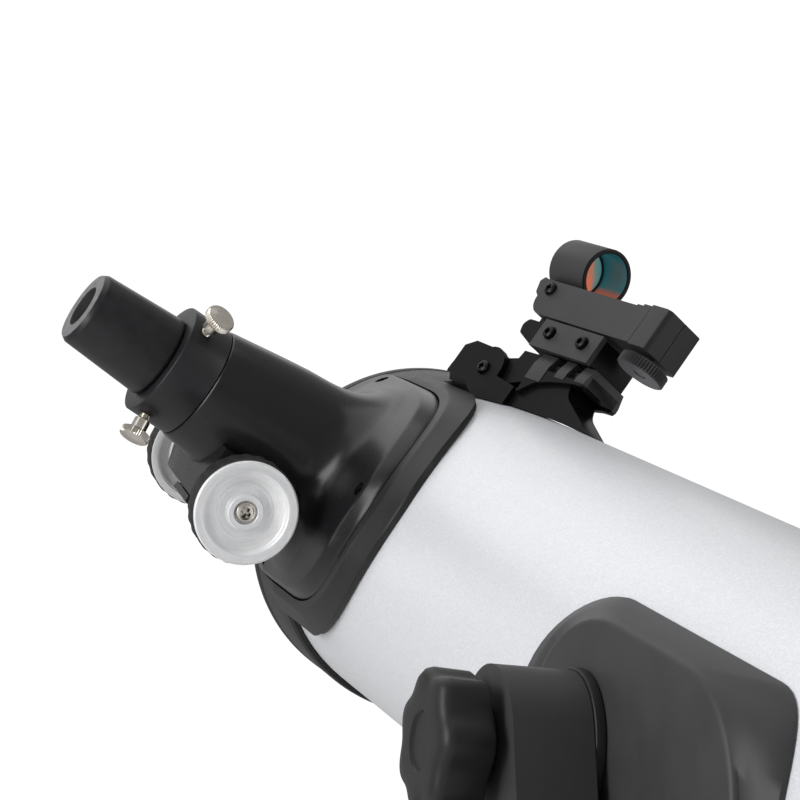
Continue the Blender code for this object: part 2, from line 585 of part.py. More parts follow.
def focus_knob(name, at, along):
    """Turned aluminium knob with a dished face, a rubber tyre and a centre screw."""
    r = KNOB_RADIUS
    dish = [(0.0021, -KNOB_DEPTH), (r - 0.0020, -KNOB_DEPTH), (r - 0.0020, -0.0020), (r, -0.0020), (r, 0.0),
            (0.80 * r, 0.0), (0.60 * r, -0.0032), (0.0021, -0.0034)]
    bore = drill(f"{name}_knob_bore", SHAFT_RADIUS + GAP, -0.02, -0.0060, focuser_frame, at, along, 16)
    cut(piece(f"focus_knob_{name}", tube(dish, 32), BARE_ALUMINIUM, focuser_frame, at, along), bore)
    low, high, bore_radius = -KNOB_DEPTH, -0.0023, r - 0.0017
    tyre = [(bore_radius, low), (GRIP_RADIUS, low), (GRIP_RADIUS, high), (bore_radius, high)]
    piece(f"knob_grip_{name}", tube(tyre, 32), GRIP_RUBBER, focuser_frame, at, along)
    head = [(0.0018, -0.0060), (0.0018, -0.0031), (0.0048, -0.0031), (0.0048, -0.0016), (0.0036, -0.0008)]
    piece(f"knob_screw_{name}", rod(head, 16), NICKEL, focuser_frame, at, along)


def pinion_cover():
    """Plate that closes the pinion's pocket."""
    outline = [(-0.0150, 0.1085), (0.0150, 0.1085), (0.0150, 0.1375), (-0.0150, 0.1375)]
    plate = loft([[(x, y, z) for y, z in outline] for x in (-0.0478, -0.0448)])
    return piece("pinion_cover", plate, FOCUSER_BLACK, focuser_frame)


# ---------------------------------------------------------------- red-dot finder


def finder_foot():
    """Foot that stands on the tube, with the hinge block at its front and a rounded tail."""
    floor = -0.0714
    side = [(0.0247, -0.0850), (0.0247, -0.0698), (0.0228, -0.0624), (0.0179, -0.0573), (0.0132, -0.0558),
            (0.0090, -0.0556), (0.0076, -0.0600), (0.0076, floor), (-0.0385, floor), (-0.0400, RAIL_BOTTOM - 0.0004),
            (-0.0670, RAIL_BOTTOM - 0.0004), (-0.0700, -0.0675), (-0.0825, -0.0734), (-0.0927, -0.0782),
            (-0.0971, -0.0827), (-0.0980, -0.0950), (-0.0300, -0.0950)]
    made = piece("finder_foot", side_prism(side, FOOT_HALF), FINDER_BLACK, finder_frame)
    ear = [(0.0200, -0.0850), (0.0200, -0.0600), (0.0132, -0.0560)]
    ear += arc(HINGE_Z, HINGE_Y, KNUCKLE_RADIUS + 0.0006, 70, 170, 7)
    ear += [(-0.0172, -0.0700), (-0.0340, -0.0722), (-0.0340, -0.0900)]
    for k, x in enumerate((-0.0112, 0.0112)):
        join(made, piece(f"hinge_ear_{k + 1}", side_prism(ear, 0.0015, x), None, finder_frame))
    skin = drill("foot_skin", 0.0806, -0.35, 0.01, tube_frame, segments=72)
    ring = drill("foot_ring_clearance", RING_RADIUS + 0.0006, -0.0575, 0.01, tube_frame, segments=72)
    sector = [(0.0, 0.0)] + arc(0, 0, 0.0890, 0, 58, 12)
    saddle = piece("foot_saddle_clearance", prism(sector, -0.22, 0.02), None, tube_frame)
    pin = drill("foot_pin_bore", 0.0020, -0.02, 0.02, finder_frame, (0, HINGE_Y, HINGE_Z), "+X", 16)
    return cut(made, skin, ring, saddle, pin)


def finder_bracket():
    """Slotted rail with arched sides over the foot, and an arm that reaches forward to the hinge pin."""
    rail = [(RAIL_FRONT, RAIL_BOTTOM), (RAIL_REAR, RAIL_BOTTOM), (RAIL_REAR, RAIL_TOP)]
    for k in range(1, -1, -1):
        slot = -0.0484 - RAIL_PITCH * k
        rail += [(slot - RAIL_SLOT_WIDTH, RAIL_TOP), (slot - RAIL_SLOT_WIDTH, RAIL_SLOT_FLOOR),
                 (slot, RAIL_SLOT_FLOOR), (slot, RAIL_TOP)]
    rail += [(RAIL_FRONT, RAIL_TOP)]
    made = piece("finder_bracket", side_prism(rail, RAIL_HALF), FINDER_BLACK, finder_frame)
    skirt = [(RAIL_FRONT - 0.0001, -0.0590), (RAIL_FRONT - 0.0001, -0.0745), (-0.0450, -0.0670), (-0.0560, -0.0639),
             (-0.0710, -0.0614), (RAIL_REAR + 0.0001, -0.0612), (RAIL_REAR + 0.0001, -0.0590)]
    for k, x in enumerate((-0.0112, 0.0112)):
        join(made, piece(f"rail_skirt_{k + 1}", side_prism(skirt, 0.0012, x), None, finder_frame))
    arm = [(RAIL_FRONT - 0.0010, -0.0595), (RAIL_FRONT - 0.0010, -0.0515), (-0.0200, -0.0519), (-0.0192, -0.0566)]
    arm += arc(HINGE_Z, HINGE_Y, KNUCKLE_RADIUS, 125, 15, 8)
    arm += [(0.0060, -0.0708), (-0.0250, -0.0700), (-0.0360, -0.0660), (-0.0360, -0.0595)]
    join(made, piece("arm_shape", side_prism(arm, ARM_HALF), None, finder_frame))
    skin = drill("bracket_skin", 0.0806, -0.35, 0.01, tube_frame, segments=72)
    pin = drill("bracket_pin_bore", 0.0020, -0.02, 0.02, finder_frame, (0, HINGE_Y, HINGE_Z), "+X", 16)
    return cut(made, skin, pin)


def finder_screws():
    hinge = [(0.0017, -0.0255), (0.0017, 0.0), (0.0036, 0.0), (0.0036, 0.0014), (0.0026, 0.0022)]
    piece("hinge_screw", rod(hinge, 16), STEEL, finder_frame, (0.0128, HINGE_Y, HINGE_Z), "+X")
    pivot = [(0.0017, -0.0200), (0.0017, 0.0), (0.0034, 0.0), (0.0034, 0.0014), (0.0024, 0.0022)]
    piece("pivot_screw", rod(pivot, 16), STEEL, finder_frame, (FINDER_HALF + GAP, PIVOT_Y, PIVOT_Z), "+X")
    for i, z in enumerate(CLAMP_SCREWS_Z):
        clamp = [(0.0014, -0.0100), (0.0014, 0.0), (0.0032, 0.0), (0.0032, 0.0020), (0.0026, 0.0024)]
        piece(f"clamp_screw_{i + 1}", rod(clamp, 12), FINDER_BLACK, finder_frame, (0.0158, -0.0420, z), "+X")


def clamp_screw_drills(name):
    return [drill(f"{name}_{i + 1}", 0.0018, -0.012, 0.004, finder_frame, (0.0158, -0.0420, z), "+X", 12)
            for i, z in enumerate(CLAMP_SCREWS_Z)]


def finder_clamp():
    """Block that sits on the rail and carries the finder, and the plate that grips the rail."""
    side = [(-0.0738, -0.0500), (-0.0738, -0.0356), (-0.0180, -0.0356), (-0.0180, -0.0190)]
    side += arc(PIVOT_Z, PIVOT_Y, 0.0050, 180, 0, 6)
    side += [(-0.0080, -0.0440), (-0.0250, -0.0500)]
    block = piece("clamp_block", side_prism(side, 0.0040), FINDER_BLACK, finder_frame)
    wide = [(-0.0740, -0.0504), (-0.0740, -0.0356), (-0.0290, -0.0356), (-0.0220, -0.0380), (-0.0090, -0.0380),
            (-0.0090, -0.0450), (-0.0270, -0.0504)]
    join(block, piece("clamp_wide_shape", side_prism(wide, 0.0122), None, finder_frame))
    pin = drill("block_pin_bore", 0.0020, -0.02, 0.02, finder_frame, (0, PIVOT_Y, PIVOT_Z), "+X", 16)
    cut(block, pin, *clamp_screw_drills("block_screw_hole"))
    plate = piece("clamp_plate", box((0.0126, -0.0506, -0.0745), (0.0155, -0.0353, -0.0280)), FINDER_BLACK, finder_frame)
    cut(plate, *clamp_screw_drills("plate_screw_hole"))


def finder_body():
    """Long housing below, and the short open tube with its window on top."""
    side = [(-0.0875, FINDER_BOTTOM), (-0.0875, FINDER_TOP), (-0.0060, FINDER_TOP), (-0.0035, FINDER_TOP + 0.0005)]
    side += [(-0.0016, -0.0160), (-0.0030, -0.0220)] + arc(-0.0150, -0.0240, 0.0090, 0, -90, 4)
    made = piece("finder_body", side_prism(side, FINDER_HALF), FINDER_BLACK, finder_frame)
    barrel = [(FINDER_TUBE_BORE, -FINDER_TUBE_LENGTH), (FINDER_TUBE_RADIUS, -FINDER_TUBE_LENGTH),
              (FINDER_TUBE_RADIUS, 0.0), (FINDER_TUBE_BORE, 0.0)]
    join(made, piece("finder_tube_shape", tube(barrel, 32), None, finder_frame))
    slot = piece("pivot_slot", box((-0.0045, -0.0500, -0.0200), (0.0045, -0.0135, -0.0072)), None, finder_frame)
    pin = drill("body_pin_bore", 0.0020, -0.010, 0.02, finder_frame, (0, PIVOT_Y, PIVOT_Z), "+X", 16)
    dial = drill("dial_bore", 0.0026, 0.0060, 0.02, finder_frame, (0, -0.0235, -0.0600), "-X", 16)
    cut(made, slot, pin, dial)
    piece("finder_window", rod([(0.0118, -0.0075), (0.0118, -0.0060)], 32), OPTIC_GLASS, finder_frame)


def finder_rear_cap():
    """Battery cover on the rear of the housing, its upright edges rounded."""
    half, radius = FINDER_HALF, 0.003
    rear, front = -0.1013, -0.0878
    corners = arc(half - radius, rear + radius, radius, -90, 0, 3)
    outline = [(-x, z) for x, z in reversed(corners)] + corners + [(half, front), (-half, front)]
    cap = loft([[(x, y, z) for x, z in outline] for y in (-0.0335, -0.0115)])
    made = piece("finder_rear_cap", cap, FINDER_BLACK, finder_frame)
    bore = drill("wheel_bore", 0.0024, -0.002, 0.006, finder_frame, (0, -0.0335, WHEEL_Z), "+Y", 16)
    return cut(made, bore)


def finder_controls():
    """Knurled aiming wheel under the rear end, and the brightness dial on the far side."""
    top = -0.0362
    loops = [lobed(0.0125, 0.0005, 16, 2, -0.0060), lobed(0.0125, 0.0005, 16, 2, 0.0),
             ring_of(0.0020, 0.0, 32), ring_of(0.0020, 0.0070, 32)]
    piece("aiming_wheel", loft(loops), FINDER_BLACK, finder_frame, (0, top, WHEEL_Z), "+Y")
    loops = [ring_of(0.0022, -0.0050, 24), ring_of(0.0022, 0.0003, 24), lobed(0.0080, 0.0006, 12, 2, 0.0003),
             lobed(0.0080, 0.0006, 12, 2, 0.0050)]
    piece("brightness_dial", loft(loops), FINDER_BLACK, finder_frame, (-FINDER_HALF, -0.0235, -0.0600), "-X")


# ---------------------------------------------------------------- cradle, arm and base


def cradle_outline(nose, tail, nose_length, tail_length, half_width, steps=12):
    """(y, z) points of a long plate with elliptical ends."""
    points = [(nose + nose_length * cos(a), half_width * sin(a))
              for a in (pi / 2 - pi * i / steps for i in range(steps + 1))]
    points += [(tail - tail_length * cos(a), -half_width * sin(a))
               for a in (pi / 2 - pi * i / steps for i in range(steps + 1))]
    return points


def altitude_cradle():
    """Plate fastened on the tube's left side: its foot follows the tube, its face is flat."""
    foot = cradle_outline(CRADLE_NOSE, CRADLE_TAIL, CRADLE_HALF_WIDTH, CRADLE_HALF_WIDTH, CRADLE_HALF_WIDTH)
    face = cradle_outline(CRADLE_FACE_NOSE, CRADLE_FACE_TAIL, CRADLE_FACE_NOSE_LENGTH, CRADLE_FACE_TAIL_LENGTH,
                          CRADLE_HALF_WIDTH)

    def on_tube(scale, lift):
        skin = TUBE_RADIUS + lift
        middle = (CRADLE_NOSE + CRADLE_TAIL) / 2
        return [(-sqrt(skin ** 2 - (z * scale) ** 2), middle + (y - middle) * scale, z * scale) for y, z in foot]

    loops = [on_tube(s, -0.0015) for s in (0.3, 0.65, 1.0)]
    loops += [on_tube(1.0, 0.0015), [(-CRADLE_FACE, y, z) for y, z in face]]
    made = piece("altitude_cradle", loft(loops), ARM_GREY, cradle_frame)
    bore = drill("cradle_bore", ALTITUDE_BOLT_RADIUS + GAP, -0.2, -0.0835, cradle_frame, along="+X", segments=20)
    skin = drill("cradle_skin", RING_BORE, -0.2, 0.12, cradle_frame, along="+Y", segments=72)
    return cut(made, skin, bore)


def altitude_hub():
    """Friction disc between the cradle and the arm."""
    high = -CRADLE_FACE - GAP
    section = [(ALTITUDE_BOLT_RADIUS + GAP, high - HUB_THICK), (ARM_HEAD_RADIUS + 0.001, high - HUB_THICK),
               (ARM_HEAD_RADIUS + 0.001, high), (ALTITUDE_BOLT_RADIUS + GAP, high)]
    return piece("altitude_hub", tube(section, 32), SATIN_BLACK, altitude_axis, along="+X")


def altitude_arm():
    """Upright that carries the tube on one side, widening to a flange on the turntable."""
    foot = -AXIS_ABOVE_TURNTABLE + GAP
    head = arc(0, 0, ARM_HEAD_RADIUS, 172, 8, 12)
    outline = [(-ARM_FOOT_HALF, foot)] + head + [(ARM_FOOT_HALF, foot)]
    arm = loft([[(x, y, z) for y, z in outline] for x in (ARM_OUTER, ARM_INNER)])
    made = piece("altitude_arm", arm, ARM_GREY, altitude_axis)
    flange = box((ARM_OUTER - 0.012, -0.085, foot), (ARM_INNER + 0.040, 0.085, foot + ARM_FLANGE_THICK))
    join(made, piece("arm_flange_shape", flange, None, altitude_axis))
    bore = drill("arm_bore", ALTITUDE_BOLT_RADIUS + GAP, -0.2, 0.0, altitude_axis, along="+X")
    return cut(made, bore)


def altitude_knob():
    """Lobed tension knob, with the bolt that is the tube's altitude axis."""
    inner = -ARM_OUTER + GAP
    loops = [ring_of(ALTITUDE_BOLT_RADIUS, 0.0840, 28), ring_of(ALTITUDE_BOLT_RADIUS, inner, 28)]
    loops += [ring_of(0.014, inner, 28), ring_of(0.014, inner + 0.004, 28)]
    loops += [lobed(0.026, 0.003, 7, 4, inner + 0.006), lobed(0.027, 0.003, 7, 4, inner + 0.020),
              lobed(0.023, 0.003, 7, 4, inner + 0.024)]
    return piece("altitude_knob", loft(loops), SATIN_BLACK, altitude_axis, along="-X")


def base():
    low = FOOT_HEIGHT + GAP
    board = [(0.0065, low), (BOARD_RADIUS, low), (BOARD_RADIUS, low + BOARD_THICK), (0.0065, low + BOARD_THICK)]
    piece("ground_board", tube(board, 40), BOARD_BLACK, azimuth_axis)
    low += BOARD_THICK + GAP
    disc = [(0.0065, low), (BEARING_RADIUS, low), (BEARING_RADIUS, low + BEARING_THICK), (0.0065, low + BEARING_THICK)]
    piece("azimuth_bearing", tube(disc, 28), SLIDE_WHITE, azimuth_axis)
    low += BEARING_THICK + GAP
    board = [(0.0065, low), (TURNTABLE_RADIUS, low), (TURNTABLE_RADIUS, TURNTABLE_TOP), (0.0065, TURNTABLE_TOP)]
    piece("turntable", tube(board, 40), BOARD_BLACK, azimuth_axis)
    bolt = [(0.0060, FOOT_HEIGHT + 0.004), (0.0060, TURNTABLE_TOP + GAP), (0.0130, TURNTABLE_TOP + GAP),
            (0.0130, TURNTABLE_TOP + 0.0050), (0.0110, TURNTABLE_TOP + 0.0065)]
    piece("azimuth_bolt", rod(bolt, 24), STEEL, azimuth_axis)
    for i in range(3):
        a = radians(90 + 120 * i)
        pad = rod([(FOOT_RADIUS - 0.002, 0.0), (FOOT_RADIUS, 0.003), (FOOT_RADIUS, FOOT_HEIGHT)], 20)
        piece(f"foot_{i + 1}", pad, GRIP_RUBBER, azimuth_axis, (FOOT_CIRCLE * cos(a), FOOT_CIRCLE * sin(a), 0))


main_tube()
front_bezel()
front_cell()
rear_ring()
primary_optics()
secondary_optics()
focuser_body()
base_screws()
drawtube()
eyepiece_collar()
thumbscrews()
eyepiece()
pinion_and_knobs()
pinion_cover()
finder_foot()
finder_bracket()
finder_screws()
finder_clamp()
finder_body()
finder_rear_cap()
finder_controls()
altitude_cradle()
altitude_hub()
altitude_arm()
altitude_knob()
base()
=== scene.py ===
"""Looks of the Newtonian reflector telescope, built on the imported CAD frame. Units are metres."""

import json
from math import cos, hypot, pi, radians, sin, sqrt

import bmesh
import bpy
from mathutils import Matrix, Vector


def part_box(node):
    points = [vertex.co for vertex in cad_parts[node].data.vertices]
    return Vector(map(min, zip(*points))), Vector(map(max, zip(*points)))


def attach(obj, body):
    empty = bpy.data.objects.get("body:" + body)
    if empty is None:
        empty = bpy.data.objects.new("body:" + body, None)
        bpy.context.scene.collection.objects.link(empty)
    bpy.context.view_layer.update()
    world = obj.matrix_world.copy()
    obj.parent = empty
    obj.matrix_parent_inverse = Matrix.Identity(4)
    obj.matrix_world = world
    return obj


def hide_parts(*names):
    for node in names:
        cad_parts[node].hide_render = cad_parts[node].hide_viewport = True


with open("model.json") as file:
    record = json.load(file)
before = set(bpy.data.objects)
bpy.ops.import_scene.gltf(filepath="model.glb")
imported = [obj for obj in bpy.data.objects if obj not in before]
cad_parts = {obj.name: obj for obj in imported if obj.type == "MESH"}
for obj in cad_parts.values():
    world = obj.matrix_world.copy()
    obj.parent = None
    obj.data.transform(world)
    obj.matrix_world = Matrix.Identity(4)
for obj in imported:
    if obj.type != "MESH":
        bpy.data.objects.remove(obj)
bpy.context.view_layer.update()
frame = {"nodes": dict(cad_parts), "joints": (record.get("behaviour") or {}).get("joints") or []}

JOINTS = {joint["name"]: joint for joint in frame["joints"]}

# ---------------------------------------------------------------- places, from the frame's joints


def axis_of(joint):
    return Vector(JOINTS[joint]["axis"]).normalized()


def place(x, y, z, origin):
    """A matrix whose axes are x, y and z, with its origin at a point."""
    made = Matrix((x, y, z)).transposed().to_4x4()
    made.translation = origin
    return made


ALTITUDE_BEHIND_FRONT = 0.49
FOCUSER_Z = -0.0911
PIVOT_Y, PIVOT_Z = -0.019, -0.013

ALONG_TUBE = axis_of("collimation_knob_1_turn")
OUT = axis_of("drawtube_slide")
ACROSS = ALONG_TUBE.cross(OUT)
ALTITUDE = Vector(JOINTS["altitude_tilt"]["pos_m"])
AZIMUTH = Vector(JOINTS["azimuth_turn"]["pos_m"])
SIDE = Vector((1, 0, 0))

TUBE = place(OUT, ACROSS, ALONG_TUBE, ALTITUDE + ALTITUDE_BEHIND_FRONT * ALONG_TUBE)
DECK = place(ACROSS, ALONG_TUBE, OUT, TUBE @ Vector((0, 0, FOCUSER_Z)))
PINION = -axis_of("focus_knob_turn")
FOCUSER = place(PINION.cross(OUT), PINION, OUT, DECK.translation)
FINDER_SIDE, FINDER_UP = axis_of("finder_tilt"), axis_of("aiming_wheel_turn")
SIGHT = FINDER_SIDE.cross(FINDER_UP)
FINDER = place(FINDER_SIDE, FINDER_UP, SIGHT,
               Vector(JOINTS["finder_tilt"]["pos_m"]) - PIVOT_Y * FINDER_UP - PIVOT_Z * SIGHT)
CRADLE = place(SIDE, ALONG_TUBE, SIDE.cross(ALONG_TUBE), ALTITUDE)
AXLE = Matrix.Translation(ALTITUDE)
BASE = Matrix.Translation((AZIMUTH.x, AZIMUTH.y, 0))

# Turns a piece's own Z along another axis
TO_X, TO_MINUS_X = Matrix.Rotation(pi / 2, 4, "Y"), Matrix.Rotation(-pi / 2, 4, "Y")
TO_Y, TO_MINUS_Y = Matrix.Rotation(-pi / 2, 4, "X"), Matrix.Rotation(pi / 2, 4, "X")
DOWN = Matrix.Rotation(pi, 4, "X")


def at(x, y, z):
    return Matrix.Translation((x, y, z))


def ring_place(radius, turn, height=0):
    return at(radius * cos(turn), radius * sin(turn), height)


# ---------------------------------------------------------------- materials


class Nodes:
    """Short names for building a material's nodes."""

    def __init__(self, name):
        self.material = bpy.data.materials.new(name)
        self.material.use_nodes = True
        self.tree = self.material.node_tree
        self.shader = self.tree.nodes["Principled BSDF"]
        self.place = self.add("ShaderNodeTexCoord").outputs["Object"]

    def add(self, kind, **settings):
        node = self.tree.nodes.new(kind)
        for key, value in settings.items():
            setattr(node, key, value)
        return node

    def link(self, source, target):
        self.tree.links.new(source, target)

    def set(self, **values):
        for key, value in values.items():
            self.shader.inputs[key.replace("_", " ")].default_value = value

    def noise(self, size, detail=2.0):
        node = self.add("ShaderNodeTexNoise")
        node.inputs["Scale"].default_value = 1 / size
        node.inputs["Detail"].default_value = detail
        self.link(self.place, node.inputs["Vector"])
        return node.outputs["Fac"]

    def span(self, source, low, high, from_low=0.0, from_high=1.0):
        node = self.add("ShaderNodeMapRange")
        for key, value in (("From Min", from_low), ("From Max", from_high), ("To Min", low),
                           ("To Max", high)):
            node.inputs[key].default_value = value
        self.link(source, node.inputs["Value"])
        return node.outputs["Result"]

    def ramp(self, source, *stops):
        node = self.add("ShaderNodeValToRGB")
        for _ in stops[2:]:
            node.color_ramp.elements.new(0.5)
        for element, (position, colour) in zip(node.color_ramp.elements, stops):
            element.position = position
            element.color = (*colour, 1)
        self.link(source, node.inputs["Fac"])
        return node.outputs["Color"]

    def shades(self, source, colour, spread):
        """The colour, darker and lighter by a share, following a pattern."""
        low = tuple(c * (1 - spread) for c in colour)
        high = tuple(min(1, c * (1 + spread)) for c in colour)
        self.link(self.ramp(source, (0.3, low), (0.7, high)), self.shader.inputs["Base Color"])

    def bump(self, *layers):
        """Stacks (pattern, height in metres) layers into the surface normal."""
        normal = None
        for source, height in layers:
            node = self.add("ShaderNodeBump")
            node.inputs["Distance"].default_value = height
            node.inputs["Strength"].default_value = 1.0
            self.link(source, node.inputs["Height"])
            if normal:
                self.link(normal, node.inputs["Normal"])
            normal = node.outputs["Normal"]
        self.link(normal, self.shader.inputs["Normal"])

    def painted_glow(self, colour):
        """Paints the colour onto the surface and into a faint painted glow alike."""
        for socket in ("Base Color", "Emission Color"):
            self.link(colour, self.shader.inputs[socket])

    def done(self):
        """The finished material."""
        return self.material


def finish(name, colour, roughness, spread=0.12, patch=0.02, grain=0.0005, height=0.00002,
           rough_spread=0.06, specular=0.4):
    """A surface with broad patches of shade and gloss, over a fine grain."""
    nodes = Nodes(name)
    nodes.set(Specular_IOR_Level=specular)
    patches = nodes.noise(patch, 4.0)
    fine = nodes.noise(grain)
    nodes.shades(patches, colour, spread)
    nodes.link(nodes.span(patches, roughness - rough_spread, roughness + rough_spread),
               nodes.shader.inputs["Roughness"])
    nodes.bump((fine, height))
    return nodes.done()


FLAKE_SIZE = 0.0006
WAVES_PER_UNIT = 20
# Slant and blur of the painted reflection across the finder's window
REFLECTION_SLANT, REFLECTION_BLUR = -1.2, 0.008


def metallic_paint():
    """Silver paint: bright flakes in a grey ground, under a thin clear coat."""
    nodes = Nodes("silver_paint")
    nodes.set(Metallic=0.25, Coat_Weight=0.15, Coat_Roughness=0.25)
    flakes = nodes.add("ShaderNodeTexVoronoi")
    flakes.inputs["Scale"].default_value = 1 / FLAKE_SIZE
    nodes.link(nodes.place, flakes.inputs["Vector"])
    shade = nodes.add("ShaderNodeSeparateColor")
    nodes.link(flakes.outputs["Color"], shade.inputs["Color"])
    nodes.link(nodes.ramp(shade.outputs["Red"], (0.0, (0.77, 0.785, 0.815)), (0.5, (0.82, 0.835, 0.865)),
                          (1.0, (0.89, 0.905, 0.93))), nodes.shader.inputs["Base Color"])
    nodes.link(nodes.span(shade.outputs["Green"], 0.34, 0.52), nodes.shader.inputs["Roughness"])
    nodes.bump((flakes.outputs["Distance"], 0.00003), (nodes.noise(0.004), 0.00002))
    return nodes.done()


def turned_metal(name, colour, roughness, pitch, metallic=1.0):
    """Lathe-turned metal: fine rings round the piece's own Z axis."""
    nodes = Nodes(name)
    nodes.set(Metallic=metallic)
    rings = nodes.add("ShaderNodeTexWave", wave_type="RINGS", rings_direction="Z")
    rings.inputs["Scale"].default_value = 1 / pitch / WAVES_PER_UNIT
    rings.inputs["Distortion"].default_value = 0.6
    nodes.link(nodes.place, rings.inputs["Vector"])
    patches = nodes.noise(0.006, 3.0)
    nodes.shades(patches, colour, 0.05)
    nodes.link(nodes.span(rings.outputs["Fac"], roughness - 0.03, roughness + 0.05),
               nodes.shader.inputs["Roughness"])
    nodes.bump((rings.outputs["Fac"], 0.000002), (nodes.noise(0.0006), 0.000001))
    return nodes.done()


def painted_window_reflection():
    """Thin glass with a painted reflection of its coating's colours, running from orange low on one side to
    teal high on the other, and a painted glow.
    """
    nodes = Nodes("window_painted_reflection")
    nodes.set(Roughness=0.08, IOR=1.5, Emission_Strength=0.5)
    parts = nodes.add("ShaderNodeSeparateXYZ")
    nodes.link(nodes.place, parts.inputs["Vector"])
    slant = nodes.add("ShaderNodeMath", operation="MULTIPLY_ADD")
    slant.inputs[1].default_value = REFLECTION_SLANT
    nodes.link(parts.outputs["X"], slant.inputs[0])
    nodes.link(parts.outputs["Y"], slant.inputs[2])
    blur = nodes.add("ShaderNodeMath", operation="MULTIPLY_ADD")
    nodes.link(nodes.noise(0.006, 3.0), blur.inputs[0])
    blur.inputs[1].default_value = REFLECTION_BLUR
    nodes.link(slant.outputs[0], blur.inputs[2])
    share = nodes.span(blur.outputs[0], 0.0, 1.0, 0.0, 0.024)
    painted_glow = nodes.ramp(share, (0.0, (0.85, 0.2, 0.09)), (0.5, (0.72, 0.24, 0.14)), (0.68, (0.2, 0.3, 0.28)),
                      (1.0, (0.03, 0.3, 0.34)))
    nodes.painted_glow(painted_glow)
    nodes.bump((nodes.noise(0.003), 0.000003))
    return nodes.done()


def window_glow():
    """Glossy inside of the finder's tube, with painted light reflected from the window's coating: teal
    above, orange below, and a painted glow.
    """
    nodes = Nodes("barrel_inside_glow")
    nodes.set(Roughness=0.25, Emission_Strength=0.25)
    parts = nodes.add("ShaderNodeSeparateXYZ")
    nodes.link(nodes.place, parts.inputs["Vector"])
    share = nodes.span(parts.outputs["Y"], 0.0, 1.0, -0.013, 0.012)
    painted_glow = nodes.ramp(share, (0.0, (0.62, 0.14, 0.07)), (0.4, (0.5, 0.16, 0.1)), (0.54, (0.03, 0.2, 0.23)),
                      (1.0, (0.012, 0.14, 0.17)))
    nodes.painted_glow(painted_glow)
    return nodes.done()


def lens_glass():
    """Dark lens with a faint violet coating."""
    nodes = Nodes("lens_coating")
    nodes.set(Roughness=0.06, IOR=1.45)
    nodes.link(nodes.ramp(nodes.noise(0.004), (0.3, (0.004, 0.005, 0.01)),
                          (0.7, (0.009, 0.007, 0.016))), nodes.shader.inputs["Base Color"])
    return nodes.done()


def mirror():
    """Bright mirror film with faint unevenness."""
    nodes = Nodes("mirror_film")
    nodes.set(Metallic=1.0)
    nodes.shades(nodes.noise(0.03, 3.0), (0.9, 0.92, 0.94), 0.015)
    nodes.link(nodes.span(nodes.noise(0.002), 0.015, 0.04), nodes.shader.inputs["Roughness"])
    return nodes.done()


SILVER = metallic_paint()
TUBE_INSIDE = finish("tube_inside_black", (0.012, 0.012, 0.013), 0.75, grain=0.0006,
                     height=0.00006)
MOULDED = finish("moulded_black", (0.018, 0.018, 0.018), 0.42, specular=0.3,
                 grain=0.0006, height=0.00005)
FOCUSER_PAINT = finish("focuser_gloss", (0.01, 0.01, 0.011), 0.27, patch=0.03,
                       grain=0.0012, height=0.00001, rough_spread=0.03)
ANODISED = finish("anodised_satin", (0.016, 0.016, 0.018), 0.36, patch=0.012,
                  height=0.000008)
EYEPIECE_BLACK = finish("eyepiece_black", (0.012, 0.012, 0.014), 0.32, spread=0.3,
                        patch=0.006, height=0.00001)
EYE_FACE = finish("eyepiece_face", (0.17, 0.17, 0.175), 0.5, spread=0.25, patch=0.003,
                  grain=0.0003)
ALUMINIUM = turned_metal("turned_bright", (0.98, 0.985, 1.0), 0.28, 0.0012, 0.3)
NICKEL = turned_metal("nickel_worn", (0.74, 0.69, 0.62), 0.24, 0.0005)
BOLT_STEEL = turned_metal("bolt_steel", (0.5, 0.5, 0.51), 0.32, 0.0006)
DARK_SCREW = turned_metal("dark_screw", (0.035, 0.035, 0.037), 0.3, 0.0006)
RECESS = turned_metal("recess_shade", (0.16, 0.12, 0.08), 0.45, 0.0005)
RUBBER = finish("grip_rubber_matte", (0.017, 0.017, 0.018), 0.62, height=0.00003)
FINDER_SHELL = finish("finder_shell", (0.038, 0.038, 0.04), 0.45, grain=0.0004)
WHEEL_FACE = finish("wheel_worn", (0.14, 0.14, 0.145), 0.45)
BRACKET = finish("bracket_plastic", (0.005, 0.005, 0.0055), 0.3, grain=0.0008,
                 height=0.00001, specular=0.15)
# The rail's lands: a lighter copy of the bracket plastic, with painted light from above
LIT_LAND = finish("bracket_painted_light", (0.03, 0.03, 0.031), 0.42)
# The finder's window and the inside of its tube carry painted reflections and a painted glow
WINDOW, WINDOW_GLOW, LENS, MIRROR = painted_window_reflection(), window_glow(), lens_glass(), mirror()
CRADLE_GREY = finish("cradle_satin", (0.036, 0.036, 0.038), 0.5, height=0.00003)
ARM_PAINT = finish("arm_painted_board", (0.04, 0.04, 0.042), 0.5, patch=0.05, grain=0.0009,
                   height=0.00004)
LAMINATE = finish("black_laminate", (0.022, 0.022, 0.023), 0.48, patch=0.04,
                  grain=0.0007, height=0.00006)
EDGE_BAND = finish("edge_moulding", (0.014, 0.014, 0.015), 0.34, patch=0.05, grain=0.002,
                   height=0.00001)
SLIDE = finish("slide_plastic", (0.78, 0.78, 0.76), 0.38, spread=0.03, grain=0.0004)
PLATE_BLACK = finish("rear_plate_black", (0.022, 0.022, 0.023), 0.5, grain=0.0007,
                     height=0.00006)

# ---------------------------------------------------------------- mesh tools

AXIS = 0.00001  # radius that stands for the axis of a turned piece
SHARP = radians(30)


def shown(name, mesh, where, body, nodes):
    """A piece made of a mesh, riding on a body and replacing any CAD nodes."""
    made = bpy.data.objects.new(name, mesh)
    bpy.context.scene.collection.objects.link(made)
    made.matrix_world = where
    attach(made, body)
    if nodes:
        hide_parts(*nodes)


